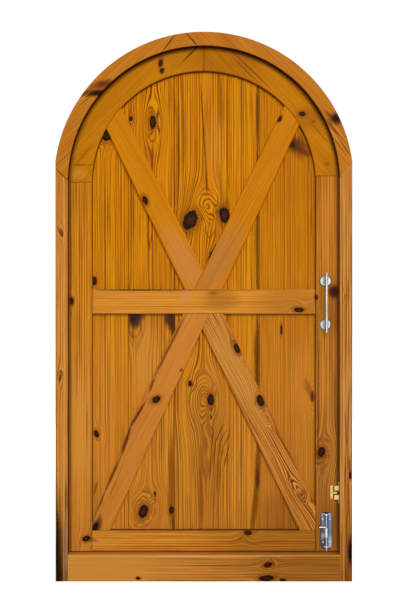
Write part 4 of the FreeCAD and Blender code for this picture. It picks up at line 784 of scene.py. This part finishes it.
BOARDS = (
    # tones, heart (x, z, y), contrast, knots, eyes, streaks
    (BOARD_TONES, (-560, 800, 90), 1.0,
     ((-357.6, 1633, 17, 22, 30, 2), (-405.3, 1094.3, 9, 15, 0, 1),
      (-397.5, 528.5, 9, 15, -20, 2)),
     (),
     ((-372, 600, 60, 480, 0, 0.4, SUNNED), (-384, 620, 5, 380, 0, 0.4, BROWN),
      (-352, 560, 6, 420, 0, 0.4, BROWN), (-400, 330, 7, 34, 12, 0.7, KNOT_HALO),
      (-402, 200, 9, 26, 0, 0.9, KNOT_CORE))),
    (BOARD_TONES, (-440, 1640, 140), 1.1,
     ((-188.2, 1682, 13, 26, 0, 1), (-269.6, 1695.2, 8, 10, 0, 1),
      (-225.2, 241.9, 17, 26, 20, 2), (-180.8, 307.3, 4, 7, 0, 1), (-119, 247, 9, 14, 0, 1)),
     ((-188.2, 1670, 26, 90, 0, 2), (-222, 244, 46, 70, 12, 4), (-256, 940, 34, 70, 0, 2)),
     ((-212, 800, 76, 190, 0, 0.4, PALE_STREAK),
      (-190, 1560, 5, 66, 0, 0.9, KNOT_HALO), (-114, 200, 6, 44, 0, 0.95, KNOT_CORE),
      (-181, 286, 3, 26, 0, 0.8, KNOT_HALO),
      (-119, 364, 19, 250, 0, 0.85, BROWN), (-122, 1300, 5, 400, 0, 0.5, STREAK),
      (-124, 950, 30, 44, -14, 0.95, DEAD_KNOT), (-116, 926, 15, 60, -8, 0.9, KNOT_TONE),
      (-253, 964, 46, 30, 0, 0.95, DEAD_KNOT), (-256, 944, 30, 34, 0, 0.95, DEAD_KNOT),
      (-262, 952, 14, 16, 20, 0.7, KNOT_CORE), (-262, 906, 3.4, 52, 0, 0.85, KNOT_TONE),
      (-276, 930, 4, 50, 8, 0.7, KNOT_TONE), (-234, 930, 4, 46, -10, 0.7, KNOT_TONE),
      (-206, 1250, 4, 34, -14, 0.6, RED_STREAK), (-196, 1250, 4, 34, 12, 0.6, RED_STREAK),
      (-201, 1226, 6, 24, 0, 0.6, RED_STREAK))),
    (BOARD_TONES, (-380, 300, 60), 1.2,
     ((-49.6, 1319.8, 25, 38, 25, 1), (76, 1338.3, 21, 32, -12, 1),
      (32.2, 1194.1, 9, 24, 28, 1), (26.3, 655.7, 13, 23, 0, 1), (-51.4, 714.8, 8, 10, 0, 1)),
     ((10.4, 1369, 40, 66, 0, 3.4), (0, 655, 52, 96, 0, 4.6), (10, 500, 22, 110, 0, 1)),
     ((-3, 1680, 3.6, 240, -3.5, 1.0, GRIME_AND_SHADE), (10, 1460, 3.2, 66, -2, 0.95, GRIME_AND_SHADE),
      (-78, 1640, 5, 280, 0, 0.6, STREAK), (64, 1620, 5, 260, 0, 0.6, STREAK),
      (86, 1560, 5, 300, 0, 0.6, STREAK), (-98, 1500, 5, 360, 0, 0.5, STREAK),
      (36, 1590, 44, 170, 0, 0.3, SUNNED), (24, 735, 50, 80, 0, 0.35, SUNNED),
      (27, 618, 4, 12, 0, 0.9, KNOT_TONE), (27, 590, 6, 12, 0, 0.95, KNOT_TONE),
      (-12, 330, 11, 200, 0, 0.65, BROWN), (14, 460, 90, 420, 0, 0.2, STREAK),
      *((x, z, BENT_RING_WIDTH, reach, tilt, 0.8, STREAK)
        for x, z, reach, tilt in BENT_RINGS),
      (12, 1268, 3.4, 26, -28, 0.7, KNOT_HALO), (32, 1268, 3.4, 26, 28, 0.7, KNOT_HALO))),
    (BOARD_TONES, (-60, 600, 80), 0.95, (), (), (*BROWN_SEAM, LOW_SHADE)),
    (BOARD_SHADE_TONES, (430, 900, 90), 0.65,
     ((286.6, 915.3, 4, 20, 0, 0),), (),
     (*BROWN_SEAM, LOW_SHADE, (297, 1300, 3, 240, 0, 0.8, PALE_STREAK))),
    (BOARD_SHADE_TONES, (190, 1300, 90), 0.65,
     (),
     ((404, 670, 22, 60, 0, 3),),
     (LOW_SHADE, (370, 730, 70, 170, 0, 0.3, SUNNED),
      (350, 1588, 44, 62, -54, 0.7, RED_STREAK), (334, 1600, 30, 40, -50, 0.75, KNOT_TONE),
      (324, 1602, 14, 24, -40, 0.8, KNOT_CORE), (372, 1570, 14, 34, -60, 0.75, RED_STREAK),
      (338, 1634, 3, 44, 4, 0.7, RED_STREAK), (352, 1626, 3, 50, -8, 0.7, KNOT_HALO),
      (366, 1610, 3, 44, -14, 0.7, RED_STREAK), (388, 1540, 3, 50, 0, 0.6, RED_STREAK),
      (398, 1400, 4, 190, 0, 0.6, STREAK),
      (401, 668, 9, 30, 0, 0.9, MAROON), (390, 690, 16, 54, -20, 0.5, RED_STREAK))),
)
for number, (tones, heart, contrast, knots, eyes, streaks) in enumerate(BOARDS, 1):
    made = pine(f"board_{number}_pine", tones, heart, contrast=contrast,
                knots=knots, eyes=eyes, streaks=streaks, dust=0.14)
    dress(made, f"board_{number}")

# --- Dowels -------------------------------------------------------------------------------
# Round beech pegs, glued into the joints of both arches, where they lie hidden in the
# wood. Beech is pale, with short darker flecks.
BEECH_LIGHT = colour(206, 170, 124)
BEECH_FLECK = colour(170, 124, 82)
FLECKS = (900, 900, 300)

made, shader, place = blank("beech_dowel")
fleck = place.noise(FLECKS, 3.0)
fleck.mixed(BEECH_LIGHT, BEECH_FLECK).feeds(shader, "Base Color")
(0.5 + 0.2 * fleck).feeds(shader, "Roughness")
dress(made, "frame_dowels", "leaf_dowels")

# --- Threshold screws ---------------------------------------------------------------------
# Long countersunk steel screws through the posts into the sill, two a side, their cross
# recesses still bright where the driver turned.
# painted shade in the gap between two parts of a metal piece
GAP_SHADE_TONE = colour(40, 28, 14)
GAP_SHADE_HEIGHT = (2.5, 6)
GAP_SHADE_EDGE = 3
SMEARS = (45, 45, 45)
SMEARED = (0.35, 0.75)
DULLED = 0.66
POLISH_SPREAD = 0.1
SCRATCH_STRENGTH, SCRATCH_DEPTH = 0.12, 0.0002


def metal(name, tone, rough, brushed=(500, 500, 30), worn=0.35, notch=None):
    """Metal with drawn or brushed streaks, soft smears in its polish and fine scratches.

    notch: a place (x, z) to the right of which a band is painted dark as shade in the gap
    between two parts."""
    made, shader, place = blank(name)
    scratch = place.noise(brushed, 2.0)
    smear = place.noise(SMEARS, 3.0)
    dull = (*(value * DULLED for value in tone[:3]), 1.0)
    tint = (smear.step(*SMEARED) * worn).mixed(tone, dull)
    if notch:
        across, _, up = (part * TO_MM for part in place.parts())
        level = abs(up - notch[1]).fade(*GAP_SHADE_HEIGHT)
        tint = (level * across.step(notch[0], notch[0] + GAP_SHADE_EDGE)).mixed(tint, GAP_SHADE_TONE)
    tint.feeds(shader, "Base Color")
    shader.inputs["Metallic"].default_value = 1.0
    polish = rough + POLISH_SPREAD * (scratch - 0.5) + POLISH_SPREAD * (smear - 0.5)
    polish.feeds(shader, "Roughness")
    given = {"Strength": SCRATCH_STRENGTH, "Distance": SCRATCH_DEPTH, "Height": scratch}
    scratch.node("ShaderNodeBump", inputs=given).feeds(shader, "Normal")
    return made


def pick(piece, kind, test):
    """Go into edit mode with only the faces or edges selected that pass the test."""
    if bpy.context.object and bpy.context.object.mode == "EDIT":
        bpy.ops.object.mode_set(mode="OBJECT")
    bpy.ops.object.select_all(action="DESELECT")
    piece.select_set(True)
    bpy.context.view_layer.objects.active = piece
    mesh = piece.data
    for element in (*mesh.vertices, *mesh.edges, *mesh.polygons):
        element.select = False
    if kind == "faces":
        for face in mesh.polygons:
            face.select = bool(test(face.center, face.normal))
    else:
        for edge in mesh.edges:
            first, last = (mesh.vertices[end].co for end in edge.vertices)
            edge.select = bool(test(first, last))
    bpy.context.scene.tool_settings.mesh_select_mode = (False, kind == "edges", kind == "faces")
    bpy.ops.object.mode_set(mode="EDIT")


def out_of_edit():
    bpy.ops.object.mode_set(mode="OBJECT")
    bpy.ops.object.select_all(action="DESELECT")


SCREW_SIDES = 24
POINT_LENGTH, POINT_WIDTH = 0.16, 0.12  # shares of the screw's length and width
SHOULDER, SHOULDER_DROP = 0.22, 0.35  # shares of a raised head's radius and height
CROSS_ARM, CROSS_REACH = 0.17, 0.42  # shares of the head's radius
CROSS_DEPTH, CROSS_TAPER = 0.25, 0.6
LEVEL = 0.9  # how squarely a face looks up or down
SKIN = 0.1  # how close to the top a corner lies, mm
HEAD_RIM = 0.95  # the share of a head's radius past which its rim lies
SAME_HEIGHT = 1e-6


def wood_screw(name, finish, head, height, shank, length, sunk):
    """A cross-recessed screw on the Z axis: its seat at the origin, its head upwards.

    A sunk head goes down from the origin instead."""
    bpy.ops.object.select_all(action="DESELECT")
    top = 0 if sunk else height
    bpy.ops.mesh.primitive_cylinder_add(
        vertices=SCREW_SIDES, radius=head * MM, depth=height * MM,
        location=(0, 0, (top - height / 2) * MM),
    )
    piece = bpy.context.object
    piece.name = name
    bpy.ops.object.transform_apply(location=True, rotation=True, scale=True)
    pick(piece, "faces", lambda middle, normal: normal.z < -LEVEL)
    narrow = shank / head
    if sunk:
        bpy.ops.transform.resize(value=(narrow, narrow, 1))
    else:
        bpy.ops.mesh.inset(thickness=(head - shank) * MM)
    point = length * POINT_LENGTH
    for drop, share in ((length - point - (height if sunk else 0), 1.0), (point, POINT_WIDTH)):
        bpy.ops.mesh.extrude_region_move(TRANSFORM_OT_translate={"value": (0, 0, -drop * MM)})
        bpy.ops.transform.resize(value=(share, share, 1))
    high = (top - SKIN) * MM
    pick(piece, "faces", lambda middle, normal: normal.z > LEVEL and middle.z > high)
    if not sunk:
        bpy.ops.mesh.inset(thickness=head * SHOULDER * MM)
        pick(piece, "edges", lambda first, last: abs(first.z - last.z) < SAME_HEIGHT
             and first.z > high and first.xy.length > head * HEAD_RIM * MM)
        bpy.ops.transform.translate(value=(0, 0, -height * SHOULDER_DROP * MM))
    out_of_edit()

    bpy.ops.mesh.primitive_cube_add(size=2 * head * CROSS_ARM * MM, location=(0, 0, top * MM))
    cutter = bpy.context.object
    bpy.ops.object.transform_apply(location=True, rotation=True, scale=True)
    pick(cutter, "faces", lambda middle, normal: abs(normal.z) < LEVEL)
    bpy.ops.mesh.extrude_faces_move(
        TRANSFORM_OT_shrink_fatten={"value": head * CROSS_REACH * MM}
    )
    pick(cutter, "faces", lambda middle, normal: normal.z < -LEVEL)
    bpy.ops.transform.translate(value=(0, 0, -height * CROSS_DEPTH * MM))
    bpy.ops.transform.resize(value=(CROSS_TAPER, CROSS_TAPER, 1))
    out_of_edit()
    cross = piece.modifiers.new("cross_recess", "BOOLEAN")
    cross.operation = "DIFFERENCE"
    cross.object = cutter
    bpy.context.view_layer.objects.active = piece
    piece.select_set(True)
    bpy.ops.object.modifier_apply(modifier=cross.name)
    bpy.data.objects.remove(cutter)
    piece.data.materials.clear()
    piece.data.materials.append(finish)
    bpy.ops.object.shade_smooth_by_angle(angle=math.radians(35))
    return piece


FIRST_TURN, NEXT_TURN = 0.7, 1.9  # the crosses stand at odd angles to each other, radians


def set_out(name, pattern, places, body, slot, *replaced):
    """One object of a pattern's copies, each placed, aimed and turned, riding on a body."""
    bpy.ops.object.select_all(action="DESELECT")
    for number, (place, aim) in enumerate(places):
        copy = bpy.data.objects.new(f"{name}_{number}", pattern.data.copy())
        bpy.context.scene.collection.objects.link(copy)
        turn = Vector(aim).to_track_quat("Z", "Y").to_matrix().to_4x4()
        spin = Matrix.Rotation(FIRST_TURN + NEXT_TURN * number, 4, "Z")
        copy.data.transform(Matrix.Translation(Vector(place) * MM) @ turn @ spin)
        copy.select_set(True)
        bpy.context.view_layer.objects.active = copy
    bpy.ops.object.join()
    joined = bpy.context.object
    joined.name = name
    bpy.ops.object.select_all(action="DESELECT")
    bpy.data.objects.remove(pattern)
    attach(joined, body)
    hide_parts(*replaced)


ZINC = metal("bright_zinc", colour(176, 174, 168), 0.36)
SILL_SCREW_PLACES = [
    ((side * 540, depth, 48), (side, 0, 0)) for side in (-1, 1) for depth in (-20, 20)
]
set_out(
    "sill_screws",
    wood_screw("sill_screw", ZINC, 5.5, 3.0, 3.0, 80, True),
    SILL_SCREW_PLACES, "frame", "screw_steel", "threshold_screws",
)

# --- Hinges -------------------------------------------------------------------------------
# Three steel butt hinges let into the left post and stile, each with five knuckles on a
# loose pin, held by four countersunk screws a side.
HINGE_FINISH = metal("plated_hinge_steel", colour(186, 184, 178), 0.34, brushed=(60, 400, 400))
PIN_FINISH = metal("hinge_pin_steel", colour(196, 196, 194), 0.26, brushed=(90, 90, 400))
HINGE_FEET = (220, 750, 1280)
HINGE_SCREW_HEIGHTS = (12.5, 37.5, 62.5, 87.5)
HINGE_SCREW_DEPTHS = (34, 22, 34, 22)
for hinge in ("low", "middle", "top"):
    dress(HINGE_FINISH, f"hinge_{hinge}_jamb_plate", f"hinge_{hinge}_stile_plate")
    dress(PIN_FINISH, f"hinge_{hinge}_pin")
for side, face, aim, body in (("jamb", -505.7, 1, "frame"), ("stile", -505.3, -1, "leaf")):
    screw_places = [
        ((face, depth, foot + height), (aim, 0, 0))
        for foot in HINGE_FEET
        for height, depth in zip(HINGE_SCREW_HEIGHTS, HINGE_SCREW_DEPTHS)
    ]
    set_out(
        f"{side}_side_screws",
        wood_screw(f"{side}_side_screw", ZINC, 4.0, 2.0, 2.0, 25, True),
        screw_places, body, "screw_steel", f"{side}_hinge_screws",
    )

# --- Nails --------------------------------------------------------------------------------
# Flat-headed steel nails through the boards into both rails, driven from the back, with
# their dull heads level with the wood.
dress(metal("nail_steel", colour(132, 128, 122), 0.45), "board_nails")

# --- Bar pull -----------------------------------------------------------------------------
# A round satin-steel bar on two posts, each on a bevelled rose, held by bolts that go
# through the right stile into the posts from the far side.
SATIN = metal("satin_steel_bar", colour(158, 162, 164), 0.34, brushed=(700, 700, 25), worn=0.6)
ROSE_FINISH = metal("satin_steel_rose", colour(120, 125, 121), 0.36,
                    brushed=(420, 60, 420), worn=0.8)
dress(SATIN, "pull_bar", "pull_post_upper", "pull_post_lower")
dress(ROSE_FINISH, "pull_rose_upper", "pull_rose_lower", "pull_bolts")

# --- Barrel bolt --------------------------------------------------------------------------
# A nickel-plated bolt on the leaf's foot, held by four small screws: a pressed plate with
# two raised flanks, a slotted barrel and two staples on it, and a bright rod between them
# with a side arm.
# the plate's tone, a darker painted reflection for its left side, a painted glint, and painted
# shade
PLATE_TONE = colour(88, 102, 120)
PLATE_PAINTED_GLINT = colour(146, 164, 182)
PLATE_DARK_REFLECTION = colour(62, 66, 76)
PLATE_PAINTED_SHADE = colour(22, 22, 30)
PLATE_WIDTH = 43
PLATE_HEIGHT = 134
PLATE_THICKNESS = 2
PLATE_CORNER = 14
PLATE_MIDDLE = (450, -2.5, 178)
FLANK_WIDTH = 14.4
FLANK_HEIGHT = 125
FLANK_RISE = 1.25
FLANK_OFFSET = 13.2
FLANK_SUNK = 0.05
FLANK_CORNER, FLANK_SOFT = 0.49, 0.8  # shares of its width and rise
PLATE_SOFT = 0.5

# where the plate's painted reflections and painted shade change, mm from its middle line, from the
# floor or from its middle
RIGHT_SIDE = (-4, 4)
LIGHT_FOOT, FOOT_COVER = (135, 175), 0.8
GLINT_STEP, GLINT_COVER = (0.45, 0.75), 0.6
BY_THE_ROD, AT_THE_EDGE, EDGE_COVER = (5.5, 8.5), (17.5, 20.5), 0.9
AT_THE_ENDS, END_COVER = (60, 65), 0.8
PLATE_POLISH, PLATE_POLISH_SPREAD = 0.24, 0.14
PLATE_SCRATCHES = (500, 500, 60)
PLATE_GLINT_SIZES = (55, 55, 30)
PLATE_SCRATCH_STRENGTH = 0.1

# The plate's colour holds painted light: the left side darker than the right and a glint low on the
# right as painted reflections, patches of painted glint, and painted shade by the rod, along the
# sides and at the ends.
plate_painted_light, shader, place = blank("pressed_bolt_plate")
scratch = place.noise(PLATE_SCRATCHES, 2.0)
glint_noise = place.noise(PLATE_GLINT_SIZES, 2.0)
across, _, up = (part * TO_MM for part in place.parts())
across = across - PLATE_MIDDLE[0]
right = across.step(*RIGHT_SIDE)
tint = right.mixed(PLATE_DARK_REFLECTION, PLATE_TONE)
tint = (up.fade(*LIGHT_FOOT) * right * FOOT_COVER).mixed(tint, PLATE_PAINTED_GLINT)
tint = (glint_noise.step(*GLINT_STEP) * GLINT_COVER).mixed(tint, PLATE_PAINTED_GLINT)
tint = (abs(across).fade(*BY_THE_ROD) * EDGE_COVER).mixed(tint, PLATE_PAINTED_SHADE)
tint = (abs(across).step(*AT_THE_EDGE) * EDGE_COVER).mixed(tint, PLATE_PAINTED_SHADE)
tint = (abs(up - PLATE_MIDDLE[2]).step(*AT_THE_ENDS) * END_COVER).mixed(tint, PLATE_PAINTED_SHADE)
tint.feeds(shader, "Base Color")
shader.inputs["Metallic"].default_value = 1.0
(PLATE_POLISH + PLATE_POLISH_SPREAD * scratch).feeds(shader, "Roughness")
given = {"Strength": PLATE_SCRATCH_STRENGTH, "Distance": SCRATCH_DEPTH, "Height": scratch}
scratch.node("ShaderNodeBump", inputs=given).feeds(shader, "Normal")


CORNER_STEPS, SOFT_STEPS = 10, 4
CORNER_SKIN = 0.01  # how close to the front a corner lies, mm


def rounded_slab(name, middle, width, thickness, height, corner, soft):
    """A flat slab facing -Y with round corners and a softened front edge."""
    bpy.ops.object.select_all(action="DESELECT")
    bpy.ops.mesh.primitive_cube_add(size=1, location=[value * MM for value in middle])
    slab = bpy.context.object
    slab.name = name
    slab.scale = (width * MM, thickness * MM, height * MM)
    bpy.ops.object.transform_apply(location=True, rotation=True, scale=True)
    pick(slab, "edges", lambda first, last: abs(first.y - last.y) > thickness / 2 * MM)
    bpy.ops.mesh.bevel(offset=corner * MM, segments=CORNER_STEPS, affect="EDGES")
    front = (middle[1] - thickness / 2 + CORNER_SKIN) * MM
    pick(slab, "edges", lambda first, last: first.y < front and last.y < front)
    bpy.ops.mesh.bevel(offset=soft * MM, segments=SOFT_STEPS, affect="EDGES")
    out_of_edit()
    return slab


plate = rounded_slab("pressed_plate", PLATE_MIDDLE, PLATE_WIDTH, PLATE_THICKNESS, PLATE_HEIGHT,
                     PLATE_CORNER, PLATE_SOFT)
flanks = []
for side in (-1, 1):
    middle = (
        PLATE_MIDDLE[0] + side * FLANK_OFFSET,
        PLATE_MIDDLE[1] - PLATE_THICKNESS / 2 - FLANK_RISE / 2 + FLANK_SUNK,
        PLATE_MIDDLE[2],
    )
    flank = rounded_slab(f"flank_{side}", middle, FLANK_WIDTH, FLANK_RISE, FLANK_HEIGHT,
                         FLANK_WIDTH * FLANK_CORNER, FLANK_RISE * FLANK_SOFT)
    flanks.append(flank)
for part in (*flanks, plate):
    part.select_set(True)
bpy.context.view_layer.objects.active = plate
bpy.ops.object.join()
plate.data.materials.clear()
plate.data.materials.append(plate_painted_light)
bpy.ops.object.shade_smooth_by_angle(angle=math.radians(40))
bpy.ops.object.select_all(action="DESELECT")
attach(plate, "leaf")
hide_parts("bolt_plate")

NICKEL = metal("bright_nickel", colour(206, 208, 214), 0.22, brushed=(500, 500, 40))
ROD_FINISH = metal("bolt_rod_steel", colour(172, 166, 172), 0.24, brushed=(600, 600, 20))
dress(NICKEL, "bolt_barrel", "bolt_staple_lower", "bolt_staple_upper")
dress(ROD_FINISH, "bolt_rod")
BOLT_SCREW_PLACES = [
    ((across, -3.5, height), (0, -1, 0)) for height in (136, 220) for across in (437, 463)
]
set_out(
    "bolt_plate_screws",
    wood_screw("bolt_plate_screw", NICKEL, 3.4, 1.6, 1.8, 18, False),
    BOLT_SCREW_PLACES, "leaf", "bolt_steel", "bolt_screws",
)

# --- Ball catch ---------------------------------------------------------------------------
# A brass case on the right reveal holds two steel balls on springs, and a brass strike on
# the leaf has a tongue that they grip. Small brass screws hold both.
# The dark band at the notch is painted shade in the gap between the case's two blocks.
BRASS = metal("lacquered_brass", colour(198, 172, 108), 0.3, brushed=(300, 300, 300), worn=0.7,
              notch=(485, 318.5))
BALL_STEEL = metal("ball_steel", colour(120, 112, 92), 0.16, worn=0.3)
SPRING_STEEL = metal("spring_steel", colour(190, 190, 192), 0.25)
SPRING_RADIUS = 3.4
SPRING_WIRE = 0.8
SPRING_LENGTH = 9.15
SPRING_TURNS = 5
SPRING_PLACE = (484, -12)
WIRE_SIDES = 12
STEPS_A_TURN = 24
SPRINGS = (
    # which, height of its foot, height of its fixed end
    ("lower", 295.75, 295.75),
    ("upper", 332.1, 341.25),
)
dress(BRASS, "catch_case", "catch_strike")
dress(BALL_STEEL, "catch_upper_ball", "catch_lower_ball")

bpy.ops.mesh.primitive_circle_add(
    vertices=WIRE_SIDES, radius=SPRING_WIRE / 2 * MM, rotation=(math.pi / 2, 0, 0),
    location=((SPRING_RADIUS - SPRING_WIRE / 2) * MM, 0, SPRING_WIRE / 2 * MM),
)
coil = bpy.context.object
bpy.ops.object.transform_apply(location=True, rotation=True, scale=True)
wound = coil.modifiers.new("wound", "SCREW")
wound.screw_offset = (SPRING_LENGTH - SPRING_WIRE) / SPRING_TURNS * MM
wound.iterations = SPRING_TURNS
wound.steps = wound.render_steps = STEPS_A_TURN
bpy.ops.object.modifier_apply(modifier="wound")
pick(coil, "edges", lambda first, last: True)
bpy.ops.mesh.fill_holes(sides=WIRE_SIDES)
bpy.ops.mesh.select_all(action="SELECT")
bpy.ops.mesh.normals_make_consistent(inside=False)
out_of_edit()
coil.data.materials.append(SPRING_STEEL)
coil.select_set(True)
bpy.context.view_layer.objects.active = coil
bpy.ops.object.shade_smooth_by_angle(angle=math.radians(40))
for which, foot, still in SPRINGS:
    bpy.ops.object.select_all(action="DESELECT")
    coil.select_set(True)
    bpy.context.view_layer.objects.active = coil
    bpy.ops.object.duplicate()
    spring = bpy.context.object
    spring.name = f"{which}_coil_spring"
    spring.location = [value * MM for value in (*SPRING_PLACE, foot)]
    bpy.ops.object.transform_apply(location=True, rotation=True, scale=True)
    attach(spring, "frame")
    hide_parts(f"catch_{which}_spring")
    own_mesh(spring)
bpy.data.objects.remove(coil)

set_out(
    "catch_screws",
    wood_screw("catch_screw", BRASS, 2.8, 1.2, 1.5, 14, False),
    [((493, -12, height), (-1, 0, 0)) for height in (284.5, 352.5)],
    "frame", "brass", "catch_case_screws",
)
set_out(
    "tongue_plate_screws",
    wood_screw("tongue_plate_screw", BRASS, 2.8, 1.2, 1.5, 14, False),
    [((469, -3.5, height), (0, -1, 0)) for height in (301.5, 335.5)],
    "leaf", "brass", "strike_screws",
)
